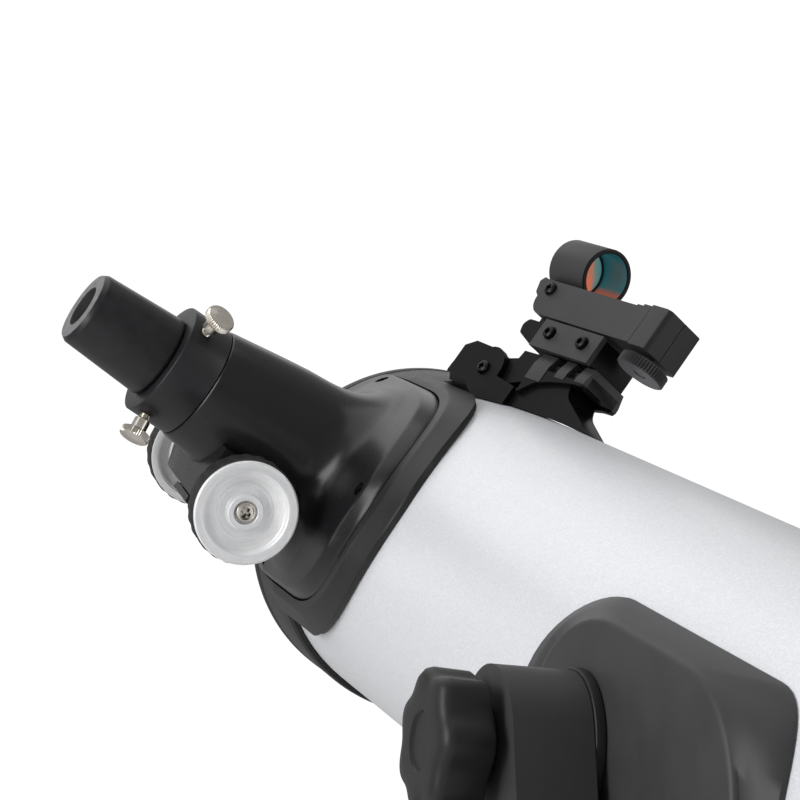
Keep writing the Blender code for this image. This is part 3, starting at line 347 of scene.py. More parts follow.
def add(name, bm, looks, where, body, *nodes, smooth=32, pick=None):
    """A piece that rides on a body. pick gives the number of each face's look."""
    looks = looks if isinstance(looks, tuple) else (looks,)
    bmesh.ops.recalc_face_normals(bm, faces=bm.faces)
    if pick:
        for face in bm.faces:
            face.material_index = int(pick(face))
    mesh = bpy.data.meshes.new(name)
    bm.to_mesh(mesh)
    bm.free()
    for look in looks:
        mesh.materials.append(look)
    mesh.shade_smooth()
    mesh.set_sharp_from_angle(angle=radians(smooth))
    shown(name, mesh, where, body, nodes)
    return mesh


def repeated(bm, look, copies, smooth=32):
    """Pieces with one mesh. Each copy is a name, a place, a body and any CAD nodes it replaces."""
    name, where, body, *nodes = copies[0]
    mesh = add(name, bm, look, where, body, *nodes, smooth=smooth)
    for name, where, body, *nodes in copies[1:]:
        shown(name, mesh, where, body, nodes)


def riding(where, body):
    """A short form of add() for pieces that share a place and a body."""
    return lambda name, bm, looks, *nodes, **settings: add(name, bm, looks, where, body, *nodes, **settings)


on_tube, on_deck = riding(TUBE, "optical_tube"), riding(DECK, "optical_tube")
on_focuser, on_drawtube = riding(FOCUSER, "optical_tube"), riding(FOCUSER, "drawtube")
on_eyepiece = riding(FOCUSER, "eyepiece")
on_bracket, on_finder = riding(FINDER, "optical_tube"), riding(FINDER, "finder")


def eased(points, radius, closed=False, steps=3):
    """The outline with each corner rounded."""
    if not radius:
        return list(points)
    count, rounded = len(points), []
    for i, here in enumerate(points):
        if not closed and i in (0, count - 1):
            rounded.append(tuple(here))
            continue
        here, before, after = Vector(here), Vector(points[i - 1]), Vector(points[(i + 1) % count])
        reach = min(radius, 0.45 * (before - here).length, 0.45 * (after - here).length)
        start = here + (before - here).normalized() * reach
        end = here + (after - here).normalized() * reach
        for k in range(steps + 1):
            t = k / steps
            rounded.append(tuple((1 - t) ** 2 * start + 2 * t * (1 - t) * here + t * t * end))
    return rounded


def skin(loops, around=False):
    """A surface through closed loops of equal counts; around joins the last loop to the first."""
    bm = bmesh.new()
    rings = [[bm.verts.new(point) for point in loop] for loop in loops]
    pairs = list(zip(rings, rings[1:])) + ([(rings[-1], rings[0])] if around else [])
    for low, high in pairs:
        for i in range(len(low)):
            j = (i + 1) % len(low)
            bm.faces.new((low[i], low[j], high[j], high[i]))
    if not around:
        bm.faces.new(rings[0])
        bm.faces.new(rings[-1])
    return bm


def circle(radius, height, count):
    return [(radius * cos(2 * pi * i / count), radius * sin(2 * pi * i / count), height)
            for i in range(count)]


def circles(count, *places):
    """Circles from (radius, height) places."""
    return [circle(r, h, count) for r, h in places]


def turned(profile, radius=0.0004, count=96, around=False):
    """A turned piece from (radius, height) points with eased corners; around closes its section."""
    return skin(circles(count, *eased(profile, radius, around)), around=around)


def section(inner, outer, low, high):
    """Rectangular section of a ring."""
    return [(inner, low), (outer, low), (outer, high), (inner, high)]


def rod(radius, low, high, count):
    return turned(section(AXIS, radius, low, high), 0, count)


def waved(radius, depth, lobes, height, per_lobe, sharp):
    """A ring with lobes: sharp above 1 narrows its valleys."""
    points, count = [], lobes * per_lobe
    for i in range(count):
        turn = 2 * pi * i / count
        valley = (0.5 - 0.5 * cos(lobes * turn)) ** sharp
        points.append(((radius - depth * valley) * cos(turn), (radius - depth * valley) * sin(turn),
                       height))
    return points


def waves(lobes, per_lobe, *places, sharp=1.0):
    """Lobed rings from (radius, height, depth) places."""
    return [waved(r, depth, lobes, h, per_lobe, sharp) for r, h, depth in places]


def softened(bm, width, segments):
    """Rounds the mesh's sharp edges."""
    edges = [edge for edge in bm.edges if edge.calc_face_angle(0) > SHARP]
    bmesh.ops.bevel(bm, geom=edges, offset=width, segments=segments, profile=0.5, affect="EDGES",
                    clamp_overlap=True)
    return bm


def slab(outline, low, high, edge=0.0, segments=3, order="xyz"):
    """An outline extruded between two heights, its edges rounded; order zyx draws it from the side."""
    loops = [[(x, y, h) for x, y in outline] for h in (low, high)]
    if order == "zyx":
        loops = [[(h, y, z) for z, y in outline] for h in (low, high)]
    return softened(skin(loops), edge, segments) if edge else skin(loops)


def block(low, high, edge=0.0005, segments=2):
    (x0, y0, z0), (x1, y1, z1) = low, high
    return slab([(x0, y0), (x1, y0), (x1, y1), (x0, y1)], z0, z1, edge, segments)


def arc(cx, cy, radius, start, end, steps=8):
    turns = [radians(start + (end - start) * i / steps) for i in range(steps + 1)]
    return [(cx + radius * cos(a), cy + radius * sin(a)) for a in turns]


def moved(bm, where):
    bm.transform(where)
    return bm


def merged(*parts):
    """Several bmeshes as one, without joining their surfaces."""
    whole = bmesh.new()
    for part in parts:
        mesh = bpy.data.meshes.new("part")
        part.to_mesh(mesh)
        part.free()
        whole.from_mesh(mesh)
        bpy.data.meshes.remove(mesh)
    return whole


def combined(bm, *steps):
    """Applies boolean steps, each an (operation, bmesh) pair."""
    made = []
    for part in (bm, *(tool for _, tool in steps)):
        bmesh.ops.recalc_face_normals(part, faces=part.faces)
        mesh = bpy.data.meshes.new("step")
        part.to_mesh(mesh)
        part.free()
        thing = bpy.data.objects.new("step", mesh)
        bpy.context.scene.collection.objects.link(thing)
        made.append(thing)
    for (operation, _), tool in zip(steps, made[1:]):
        modifier = made[0].modifiers.new("step", "BOOLEAN")
        modifier.operation = operation
        modifier.solver = "EXACT"
        modifier.object = tool
    bpy.context.view_layer.update()
    result = bmesh.new()
    result.from_mesh(made[0].evaluated_get(bpy.context.evaluated_depsgraph_get()).to_mesh())
    for thing in made:
        mesh = thing.data
        bpy.data.objects.remove(thing)
        bpy.data.meshes.remove(mesh)
    return result


def carved(bm, *tools):
    return combined(bm, *(("DIFFERENCE", tool) for tool in tools))


def fused(bm, *tools):
    return combined(bm, *(("UNION", tool) for tool in tools))


def rectangle(x, y, z):
    return [(-x, -y, z), (x, -y, z), (x, y, z), (-x, y, z)]


def cross_recess(width, depth, length, top):
    """The cross that a driver fits, narrowing as it goes down from a height."""
    arms = []
    for turn in (0, pi / 2):
        arm = skin([rectangle(length * 0.35, width * 0.3, top - depth),
                    rectangle(length / 2, width / 2, top + 0.001)])
        arms.append(moved(arm, Matrix.Rotation(turn, 4, "Z")))
    return arms


def hexagon(radius, low, high):
    return skin(circles(6, (radius, low), (radius, high)))


def from_axis(face):
    """Distance of a face's centre from the piece's own Z axis."""
    centre = face.calc_center_median()
    return hypot(centre.x, centre.y)


def in_recess(radius, height):
    """Picks the recess faces of a screw head."""
    return lambda face: from_axis(face) < radius * 0.6 and 0 < face.calc_center_median().z < height * 0.86


def cross_screw(radius, height, shank, length):
    """A domed screw head with a cross recess; its underside is at height 0."""
    dome = [(AXIS, -length), (shank, -length), (shank, 0), (radius, 0), (radius, height * 0.45),
            (radius * 0.8, height * 0.88), (radius * 0.45, height), (AXIS, height)]
    recess = cross_recess(radius * 0.4, height * 1.1, radius * 1.15, height)
    return carved(turned(dome, radius * 0.12, 48), *recess)


# ---------------------------------------------------------------- tube and its ends

TUBE_RADIUS, TUBE_BORE = 0.08, 0.079
TUBE_FRONT, TUBE_REAR = -0.006, -0.858
RING_RADIUS, RING_BORE = 0.0834, 0.0803
RING_FRONT, RING_REAR = -0.0095, -0.056


def tube_shell():
    bm = skin(circles(256, (TUBE_RADIUS, TUBE_FRONT), (TUBE_RADIUS, TUBE_REAR), (TUBE_BORE, TUBE_REAR),
                      (TUBE_BORE, TUBE_FRONT)), around=True)
    hole = moved(rod(0.03, 0.05, 0.1, 64), at(0, 0, FOCUSER_Z) @ TO_X)
    middle = (TUBE_RADIUS + TUBE_BORE) / 2
    on_tube("tube_shell", carved(bm, hole), (SILVER, TUBE_INSIDE), "main_tube",
            pick=lambda face: from_axis(face) < middle)


def front_ring():
    outer = RING_RADIUS + 0.0003
    lip = [(outer, -0.0092), (outer, -0.0025), (outer - 0.0025, 0.0), (0.0745, 0.0), (0.0745, -0.0054),
           (RING_BORE, -0.0054), (RING_BORE, -0.0092)]
    on_tube("bezel_lip", turned(lip, 0.0012, 192, True), MOULDED, "front_bezel")
    band = [(RING_BORE, RING_FRONT), (RING_RADIUS, RING_FRONT), (RING_RADIUS, RING_REAR + 0.0042),
            (RING_RADIUS - 0.0006, RING_REAR + 0.0036), (RING_RADIUS - 0.0006, RING_REAR + 0.0024),
            (RING_RADIUS - 0.0001, RING_REAR + 0.0018), (RING_RADIUS - 0.0008, RING_REAR),
            (RING_BORE, RING_REAR)]
    on_tube("ring_band", turned(band, 0.0004, 192, True), MOULDED, "front_cell")


def collimation_place(number):
    return ring_place(0.05, radians(30 + 120 * number))


def rear_end():
    ring = [(RING_BORE, -0.838), (RING_RADIUS, -0.838), (RING_RADIUS, -0.861),
            (RING_RADIUS - 0.0035, -0.8645), (0.07, -0.8645), (0.07, -0.8585), (RING_BORE, -0.8585)]
    on_tube("rear_band", turned(ring, 0.001, 192, True), MOULDED, "rear_ring")
    disc = section(0.018, TUBE_BORE - 0.0003, -0.8575, -0.8535)
    holes = [moved(rod(0.0034, -0.86, -0.85, 24), collimation_place(i)) for i in range(3)]
    plate = carved(turned(disc, 0.0004, 128, True), *holes)
    inner_rib = turned(section(0.026, 0.0275, -0.858, -0.857), 0.0004, 96, True)
    outer_rib = turned(section(0.064, 0.0655, -0.858, -0.857), 0.0004, 128, True)
    on_tube("rear_disc", merged(plate, inner_rib, outer_rib), PLATE_BLACK, "rear_plate")
    lobe = 0.0012
    loops = circles(60, (0.0029, -0.847), (0.0029, -0.8578))
    loops += waves(10, 6, (0.0084, -0.8578, lobe), (0.009, -0.8585, lobe), (0.009, -0.871, lobe),
                   (0.0084, -0.8728, lobe), (0.0074, -0.8736, lobe))
    loops += circles(60, (0.0042, -0.874), (0.0038, -0.8734))
    names = [f"collimation_knob_{i + 1}" for i in range(3)]
    repeated(skin(loops), NICKEL, [(name + "_turned", TUBE @ collimation_place(i), name, name)
                                   for i, name in enumerate(names)])


def mirrors():
    disc = [(AXIS, -0.838), (0.065, -0.838), (0.065, -0.819), (0.063, -0.8185), (0.033, -0.8198),
            (AXIS, -0.8202)]
    on_tube("primary_disc", turned(disc, 0.0005, 128), MIRROR, "primary_mirror")
    dot = section(0.0022, 0.004, -0.82005, -0.81995)
    on_tube("centre_mark", turned(dot, 0, 48, True), MOULDED)
    back = 0.005 * sqrt(2)
    face = [(x, y, FOCUSER_Z + x) for x, y, _ in circle(0.0185, 0, 96)]
    edge = [(x * 0.985, y * 0.985, z - 0.0002) for x, y, z in face]
    rear = [(x, y, z + back) for x, y, z in face]
    on_tube("diagonal_flat", skin([edge, face, rear]), MIRROR, "secondary_mirror")
    foot = [(x, y, FOCUSER_Z + x + back + 0.0006) for x, y, _ in circle(0.017, 0, 96)]
    stalk = skin([foot, circle(0.017, -0.06, 96), circle(0.0162, -0.058, 96)])
    on_tube("diagonal_holder", stalk, MOULDED, "secondary_holder")


def spider():
    hub = turned([(AXIS, -0.05), (0.012, -0.05), (0.012, -0.0236), (0.0052, -0.0236), (0.0052, -0.0242),
                  (AXIS, -0.0242)], 0.0008, 64)
    reach, thick = TUBE_BORE - 0.0003, 0.0005
    vanes = [block((-reach, -thick, -0.047), (reach, thick, -0.03), 0.0002),
             block((-thick, -reach, -0.047), (thick, reach, -0.03), 0.0002)]
    on_tube("spider_vanes", fused(hub, *vanes), MOULDED, "spider")
    bolt = carved(turned([(AXIS, -0.0236), (0.0045, -0.0236), (0.0045, -0.0205), (0.0038, -0.0198),
                          (AXIS, -0.0198)], 0.0003, 48),
                  *cross_recess(0.0016, 0.0018, 0.0052, -0.0198))
    on_tube("diagonal_bolt", bolt, BOLT_STEEL, "secondary_bolt")
    for i in range(3):
        where = TUBE @ ring_place(0.0085, radians(75 + 120 * i), -0.0236)
        grub = turned([(AXIS, -0.001), (0.0015, -0.001), (0.0015, 0.0016), (0.0007, 0.0016),
                       (0.0007, 0.0008), (AXIS, 0.0008)], 0.0002, 24)
        add(f"diagonal_grub_{i + 1}", grub, BOLT_STEEL, where, "optical_tube")


# ---------------------------------------------------------------- saddle and focuser body
#
# Both are drawn over the deck: X round the tube, Y along it, Z out through the focuser.

RADIAL_STEPS = 288
TAPER_STEPS, TAPER_CROWDING, TIP_ROUNDNESS = 40, 1.7, 0.55
BLEND_START, BLEND_DEPTH, LOWEST = 0.012, 0.042, 0.12


def polar(i):
    """The direction of one of the steps round the focuser's axis."""
    turn = 2 * pi * i / RADIAL_STEPS
    return cos(turn), sin(turn)


def shield(half, shoulder, tip, taper, front, radius, corner):
    """Reach of a shield about the focuser: square at the front, tapering to a round tip behind."""
    side = [(radius * sin(half), front), (radius * sin(half), shoulder)]
    for i in range(1, TAPER_STEPS):
        u = 1 - (1 - i / TAPER_STEPS) ** TAPER_CROWDING
        side.append((radius * sin(half * (1 - u ** taper) ** TIP_ROUNDNESS),
                     shoulder + (tip - shoulder) * u))
    outline = side + [(0.0, tip)] + [(-x, z) for x, z in reversed(side)]
    outline = [(x, z - FOCUSER_Z) for x, z in outline]
    return radial(eased([outline[-1]] + outline[:-1], corner, True, 8))


def radial(outline):
    """The outline's distance from the focuser's axis, in each direction."""
    distances = []
    for i in range(RADIAL_STEPS):
        ray = Vector(polar(i))
        best = 0.0
        for a, b in zip(outline, outline[1:] + outline[:1]):
            a, b = Vector(a), Vector(b)
            across = b - a
            below = ray.x * across.y - ray.y * across.x
            if abs(below) < 1e-12:
                continue
            along = (a.x * across.y - a.y * across.x) / below
            share = (a.x * ray.y - a.y * ray.x) / below
            if along > 0 and -1e-6 <= share <= 1 + 1e-6:
                best = max(best, along)
        distances.append(best)
    return distances


def slope(y):
    """Share of the full height: low against the bezel, full once BLEND_DEPTH behind its start."""
    behind = -(y + FOCUSER_Z) - BLEND_START
    return max(LOWEST, min(1.0, LOWEST + (1 - LOWEST) * behind / BLEND_DEPTH))


def deck_height(x, y, radius, floor):
    r = radius if floor is None else floor + (radius - floor) * slope(y)
    return sqrt(max(r * r - x * x, 1e-9))


def deck_loop(distances, radius, floor=None):
    """A loop over the tube: distances by direction, at a radius from the tube's axis."""
    points = []
    for i, reach in enumerate(distances):
        x, y = (reach * share for share in polar(i))
        points.append((x, y, deck_height(x, y, radius, floor)))
    return points


def mix(outer, inner, share):
    return [a + (b - a) * share for a, b in zip(outer, inner)]


SADDLE_FOOT = shield(radians(55.5), -0.1, -0.203, 1.3, -0.0135, 0.0806, 0.009)
SADDLE_EDGE = shield(radians(55.5), -0.1, -0.203, 1.3, -0.0135, 0.0834, 0.009)
BASE_EDGE = shield(radians(41.2), -0.09, -0.178, 1.9, -0.015, 0.0885, 0.015)
BASE_RIM = shield(radians(38.4), -0.087, -0.1715, 1.9, -0.02, 0.0915, 0.012)
POCKET_EDGE = [reach + 0.0006 for reach in BASE_EDGE]
FLOOR = 0.0838
# (share of the way from the outer edge to the pocket, distance from the tube's axis)
SADDLE_STEPS = ((0.0, 0.0806), (0.0, 0.083), (0.02, 0.0834), (0.05, 0.08365), (0.3, 0.0851),
                (0.52, 0.08695), (0.56, 0.0873), (0.6, 0.08745), (0.66, 0.08745), (0.9, 0.0871),
                (0.965, 0.0869), (1.0, 0.0863), (1.0, 0.0838))
FLARE_FOOT, FLARE_WAIST, FLARE_RADIUS = 0.0505, 0.0375, 0.093
# (share of the way from the base's edge to the rim of its top face, distance from the tube's axis)
BASE_WALL = ((0.0, 0.084), (0.0, 0.0868), (0.1, 0.0876), (0.3, 0.0885), (0.85, 0.0908), (1.0, 0.0913))
# (share of the way from that rim to the foot of the neck's flare, distance from the tube's axis)
BASE_TOP = ((0.06, 0.0915), (0.3, 0.0918), (0.7, 0.0923), (0.9, 0.0927))


def saddle():
    loops = []
    for share, radius in SADDLE_STEPS:
        low = radius < 0.0832
        edge = SADDLE_FOOT if low else SADDLE_EDGE
        loops.append(deck_loop(mix(edge, POCKET_EDGE, share), radius, None if low else 0.0834))
    inner = [0.6 * reach for reach in POCKET_EDGE]
    loops.append(deck_loop(inner, 0.0838))
    loops.append(deck_loop(inner, 0.0806))
    on_deck("saddle_moulding", skin(loops, around=True), MOULDED)


NECK_BORE = 0.0209
NECK = ((0.0354, 0.107), (0.0343, 0.12), (0.033, 0.13), (0.0316, 0.14), (0.0301, 0.15), (0.0288, 0.159),
        (0.0284, 0.1608), (0.0278, 0.1613), (0.0216, 0.1613), (NECK_BORE, 0.16), (NECK_BORE, 0.1),
        (NECK_BORE, 0.08))
FLARE_LOOPS = 12


def neck_loop(share):
    """From the foot of the neck on the deck to its cone, on a smooth inward curve."""
    points = []
    for i in range(RADIAL_STEPS):
        x, y = polar(i)
        deck = [deck_height(r * x, r * y, FLARE_RADIUS, FLOOR) for r in (FLARE_FOOT, FLARE_WAIST)]
        start, middle, end = (FLARE_FOOT, deck[0]), (FLARE_WAIST, deck[1] + 0.002), NECK[0]
        r, h = ((1 - share) ** 2 * a + 2 * share * (1 - share) * b + share ** 2 * c
                for a, b, c in zip(start, middle, end))
        points.append((r * x, r * y, h))
    return points


def focuser_casting():
    foot = [FLARE_FOOT] * RADIAL_STEPS
    loops = [deck_loop(mix(BASE_EDGE, BASE_RIM, share), radius, None if radius < 0.0845 else FLOOR)
             for share, radius in BASE_WALL]
    loops += [deck_loop(mix(BASE_RIM, foot, share), radius, FLOOR) for share, radius in BASE_TOP]
    loops += [neck_loop(k / FLARE_LOOPS) for k in range(FLARE_LOOPS + 1)]
    loops += circles(RADIAL_STEPS, *NECK[1:])
    casting = skin(loops, around=True)
    well = [(AXIS, -0.0006), (0.0034, -0.0006), (0.0036, 0.01), (AXIS, 0.01)]
    wells = [moved(turned(well, 0, 32), DECK.inverted() @ TUBE @ screw_place(angle, z))
             for angle, z in BASE_SCREWS]
    on_deck("focuser_casting", carved(casting, *wells), FOCUSER_PAINT, "focuser_body", smooth=28)


BASE_SCREWS = ((radians(34.5), -0.056), (radians(-34.5), -0.056), (0.0, -0.166))
SCREW_SEAT = 0.0895


def screw_place(angle, z):
    return ring_place(SCREW_SEAT, angle, z) @ Matrix.Rotation(angle, 4, "Z") @ TO_X


def base_screws():
    copies = [(f"base_screw_head_{i}", TUBE @ screw_place(angle, z) @ at(0, 0, -0.0002), "optical_tube",
               f"base_screw_{i}") for i, (angle, z) in enumerate(BASE_SCREWS, 1)]
    repeated(cross_screw(0.0029, 0.0014, 0.001, 0.0002), DARK_SCREW, copies)


# ---------------------------------------------------------------- pinion housing and knobs

PINION_X, PINION_H = -0.0327, 0.1227
NEAR_FACE, FAR_FACE, KNOB_DEPTH = -0.0578, 0.0718, 0.014
KNOB_RADIUS, GRIP_RADIUS = 0.0243, 0.025


def housing():
    """The cast block under the neck that carries the pinion, with a web at each end."""
    outline = [(-0.044, 0.1085), (-0.044, 0.1375), (-0.03, 0.142), (-0.015, 0.142), (-0.015, 0.1),
               (-0.033, 0.1)]
    upright = Matrix(((1, 0, 0, 0), (0, 0, 1, 0), (0, 1, 0, 0), (0, 0, 0, 1)))
    parts = [moved(slab(outline, -0.036, 0.046, 0.0016, 3), upright)]
    for low, high, turn in ((0.0455, 0.0525, TO_Y), (0.0355, 0.042, TO_MINUS_Y)):
        boss = [(AXIS, low), (0.011, low), (0.01, high), (0.0055, high), (AXIS, high)]
        parts.append(moved(turned(boss, 0.0008, 64), at(PINION_X, 0, PINION_H) @ turn))
    on_focuser("pinion_housing", merged(*parts), FOCUSER_PAINT)
    plate = block((-0.0478, -0.015, 0.1085), (-0.0448, 0.015, 0.1375), 0.0007, 3)
    on_focuser("pinion_plate", plate, FOCUSER_PAINT, "pinion_cover")
    places = [(y, h) for h in (0.1125, 0.1335) for y in (-0.011, 0.011)]
    for i, (y, h) in enumerate(places):
        add(f"cover_screw_{i + 1}", cross_screw(0.0021, 0.0009, 0.0008, 0.0002), DARK_SCREW,
            FOCUSER @ at(-0.0478, y, h) @ TO_MINUS_X, "optical_tube")


def knob_profile():
    """Section of a focus knob, from the rim of its face round the back to the inboard side."""
    r = KNOB_RADIUS
    face = [(0.0021, -0.0044), (0.23 * r, -0.0044), (0.23 * r, -0.0014), (0.34 * r, -0.0014),
            (0.35 * r, -0.0044), (0.37 * r, -0.005), (0.5 * r, -0.005), (0.52 * r, -0.0044),
            (0.56 * r, -0.0044), (0.76 * r, -0.0026), (0.79 * r, -0.001), (0.81 * r, -0.0003),
            (0.97 * r, 0.0), (r, -0.0004)]
    rim = [(r, -0.0024), (r - 0.0022, -0.0024), (r - 0.0022, -0.0136), (r, -0.0136), (r, -KNOB_DEPTH)]
    back = [(0.86 * r, -KNOB_DEPTH), (0.83 * r, -0.012), (0.62 * r, -0.0105), (0.6 * r, -0.0112),
            (0.36 * r, -0.0112), (0.34 * r, -0.0136), (0.0021, -0.0136)]
    return face + rim + back


def knob_tyre():
    """Rubber grip with shallow scallops."""
    low, high = -0.0134, -0.0025
    steps = ((KNOB_RADIUS - 0.002, low, 0.0), (GRIP_RADIUS - 0.0005, low, 0.0),
             (GRIP_RADIUS, low + 0.0008, 0.0005), (GRIP_RADIUS, high - 0.001, 0.0005),
             (GRIP_RADIUS - 0.0003, high - 0.0003, 0.0001), (KNOB_RADIUS + 0.0002, high, 0.0),
             (KNOB_RADIUS - 0.002, high, 0.0))
    return skin(waves(24, 10, *steps, sharp=1.6), around=True)


def focus_knobs():
    for side, face, turn in (("near", NEAR_FACE, TO_MINUS_Y), ("far", FAR_FACE, TO_Y)):
        where = FOCUSER @ at(PINION_X, face, PINION_H) @ turn
        add(f"knob_{side}", turned(knob_profile(), 0.0004, 128, True), ALUMINIUM, where, "focus_knobs",
            f"focus_knob_{side}", smooth=40)
        add(f"knob_tyre_{side}", knob_tyre(), RUBBER, where, "focus_knobs", f"knob_grip_{side}")
        add(f"knob_cross_screw_{side}", cross_screw(0.0047, 0.0019, 0.0018, 0.002), (NICKEL, RECESS),
            where @ at(0, 0, -0.0036), "focus_knobs", f"knob_screw_{side}", pick=in_recess(0.0047, 0.0019))


# ---------------------------------------------------------------- drawtube, collar and eyepiece

COLLAR_LOW, COLLAR_STEP, COLLAR_HIGH, COLLAR_RADIUS = 0.1617, 0.1735, 0.1827, 0.0279
BARREL_RADIUS, EYE_TOP = 0.0158, 0.2269
THUMB_HEIGHT = 0.1758
THUMB_TURNS = {"upper": radians(-35), "lower": radians(205)}


def thumb_place(side):
    return at(0, 0, THUMB_HEIGHT) @ Matrix.Rotation(THUMB_TURNS[side], 4, "Z") @ TO_X


def collar():
    profile = [(0.0208, COLLAR_LOW), (COLLAR_RADIUS, COLLAR_LOW), (COLLAR_RADIUS, COLLAR_HIGH),
               (BARREL_RADIUS + 0.0003, COLLAR_HIGH), (BARREL_RADIUS + 0.0003, COLLAR_STEP),
               (0.0208, COLLAR_STEP)]
    holes = [moved(rod(0.0026, 0.012, 0.035, 32), thumb_place(side)) for side in THUMB_TURNS]
    ring = carved(turned(profile, 0.0006, 160, True), *holes)
    on_drawtube("collar_ring", ring, ANODISED, "eyepiece_collar")


def thumbscrews():
    """Nickel screws: thread, smooth boss, then a straight-knurled head with a domed face."""
    low, high, pitch = 0.0175, 0.0303, 0.0007
    steps = int((high - low) / pitch * 2)
    thread = [(0.002 if k % 2 else 0.0024, low + (high - low) * k / steps) for k in range(steps)]
    loops = circles(160, (0.0016, BARREL_RADIUS + 0.0004), *thread, (0.0024, high), (0.0035, high),
                    (0.0038, 0.0306), (0.0038, 0.036), (0.0042, 0.0364))
    loops += waves(40, 4, (0.0064, 0.0365, 0.0), (0.0072, 0.0369, 0.0006), (0.0072, 0.0397, 0.0006),
                   (0.0066, 0.0402, 0.0))
    loops += circles(160, (0.0058, 0.0403), (0.0035, 0.0408), (0.0015, 0.041), (0.0001, 0.041))
    copies = [(f"thumbscrew_{side}_knurled", FOCUSER @ thumb_place(side), f"thumbscrew_{side}",
               f"thumbscrew_{side}") for side in THUMB_TURNS]
    repeated(skin(loops), NICKEL, copies, smooth=25)


def drawtube():
    wall = section(0.0185, 0.0205, 0.064, 0.1732)
    on_drawtube("drawtube_wall", turned(wall, 0.0004, 128, True), ANODISED, "drawtube")
    pitch, low, high = pi * 0.001, 0.0655, 0.16
    root, tip, back = -0.0252, -0.0271, -0.0198
    outline = [(high, back), (low, back), (low, root)]
    centre = PINION_H + pitch / 2 - int((PINION_H - low) / pitch) * pitch
    while centre + pitch / 2 < high:
        outline += [(centre - 0.27 * pitch, root), (centre - 0.12 * pitch, tip),
                    (centre + 0.12 * pitch, tip), (centre + 0.27 * pitch, root)]
        centre += pitch
    outline += [(high, root)]
    rack = skin([[(x, y, z) for z, x in outline] for y in (-0.0035, 0.0035)])
    on_drawtube("toothed_rack", rack, BOLT_STEEL, smooth=20)


def eyepiece():
    shoulder = COLLAR_HIGH + 0.0003
    profile = [(0.0135, 0.148), (BARREL_RADIUS, 0.148), (BARREL_RADIUS, 0.17), (BARREL_RADIUS, shoulder),
               (0.0196, shoulder), (0.0204, shoulder + 0.0012), (0.0204, shoulder + 0.002),
               (0.0182, EYE_TOP - 0.0026), (0.0166, EYE_TOP), (0.0104, EYE_TOP),
               (0.0098, EYE_TOP - 0.0008), (0.0076, EYE_TOP - 0.0044), (0.0072, EYE_TOP - 0.009),
               (0.0135, EYE_TOP - 0.01)]

    def zone(face):
        if from_axis(face) < 0.0102:
            return 2
        return face.calc_center_median().z > EYE_TOP - 0.0003

    on_eyepiece("eyepiece_shell", turned(profile, 0.0003, 128, True),
                (EYEPIECE_BLACK, EYE_FACE, TUBE_INSIDE), "eyepiece_body", pick=zone)
    eye = [(AXIS, -0.008), (0.0068, -0.008), (0.0069, -0.0062), (0.0052, -0.0056), (0.003, -0.0053),
           (AXIS, -0.0052)]
    add("eye_lens_domed", turned(eye, 0.0002, 64), LENS, FOCUSER @ at(0, 0, EYE_TOP), "eyepiece",
        "eye_lens")
    field = [(AXIS, 0.154), (0.0131, 0.154), (0.0131, 0.156), (0.009, 0.1568), (0.0045, 0.1572),
             (AXIS, 0.1573)]
    on_eyepiece("field_lens_domed", turned(field, 0.0002, 64), LENS, "field_lens")


# ---------------------------------------------------------------- finder

HINGE_Y, HINGE_Z = -0.0682, -0.0047
KNUCKLE_RADIUS = 0.0118
WHEEL_Z = -0.093
CLAMP_SCREWS_Z = (-0.0376, -0.0637)


def side_slab(outline, half, centre=0.0, edge=0.0006, segments=2):
    return slab(outline, centre - half, centre + half, edge, segments, "zyx")


def tube_clearance(radius, low, high):
    """A cylinder round the tube's axis, in the finder's frame."""
    return moved(rod(radius, low, high, 192), FINDER.inverted() @ TUBE)


def finder_foot():
    """Foot on the tube: ribbed round nose, an ear each side for the hinge screw, and a sloping tail."""
    under, half = -0.0714, 0.0098
    side = [(0.0247, -0.085), (0.0247, -0.0698), (0.0228, -0.0624), (0.0179, -0.0573), (0.0132, -0.0558),
            (0.009, -0.0556), (0.0076, -0.06), (0.0076, under), (-0.0385, under), (-0.04, -0.0604),
            (-0.067, -0.0604), (-0.07, -0.0675), (-0.0825, -0.0734), (-0.0927, -0.0782), (-0.0971, -0.0827),
            (-0.098, -0.095), (-0.03, -0.095)]
    ear = [(0.02, -0.085), (0.02, -0.06), (0.0132, -0.056)]
    ear += arc(HINGE_Z, HINGE_Y, KNUCKLE_RADIUS + 0.0006, 70, 170, 16)
    ear += [(-0.0172, -0.07), (-0.034, -0.0722), (-0.034, -0.09)]
    groove = [(0.03, -0.069), (0.0229, -0.069), (0.0213, -0.0632), (0.0172, -0.0591), (0.012, -0.0575),
              (0.012, -0.05), (0.03, -0.05)]
    sector = [(0.0, 0.0)] + arc(0, 0, 0.089, 0, 58, 24)
    saddle_room = moved(slab(sector, -0.22, 0.02), FINDER.inverted() @ TUBE)
    steps = [("UNION", side_slab(ear, 0.0015, x, 0.0004)) for x in (-0.0112, 0.0112)]
    steps += [("DIFFERENCE", side_slab(groove, 0.001, x, 0.0)) for x in (-0.0034, 0.0034)]
    steps += [("DIFFERENCE", tube_clearance(0.0806, -0.35, 0.01)),
              ("DIFFERENCE", tube_clearance(0.084, -0.0575, 0.01)), ("DIFFERENCE", saddle_room)]
    body = combined(side_slab(eased(side, 0.004, True, 3), half, edge=0.0005), *steps)
    on_bracket("finder_foot_moulding", body, BRACKET, "finder_foot", smooth=28)


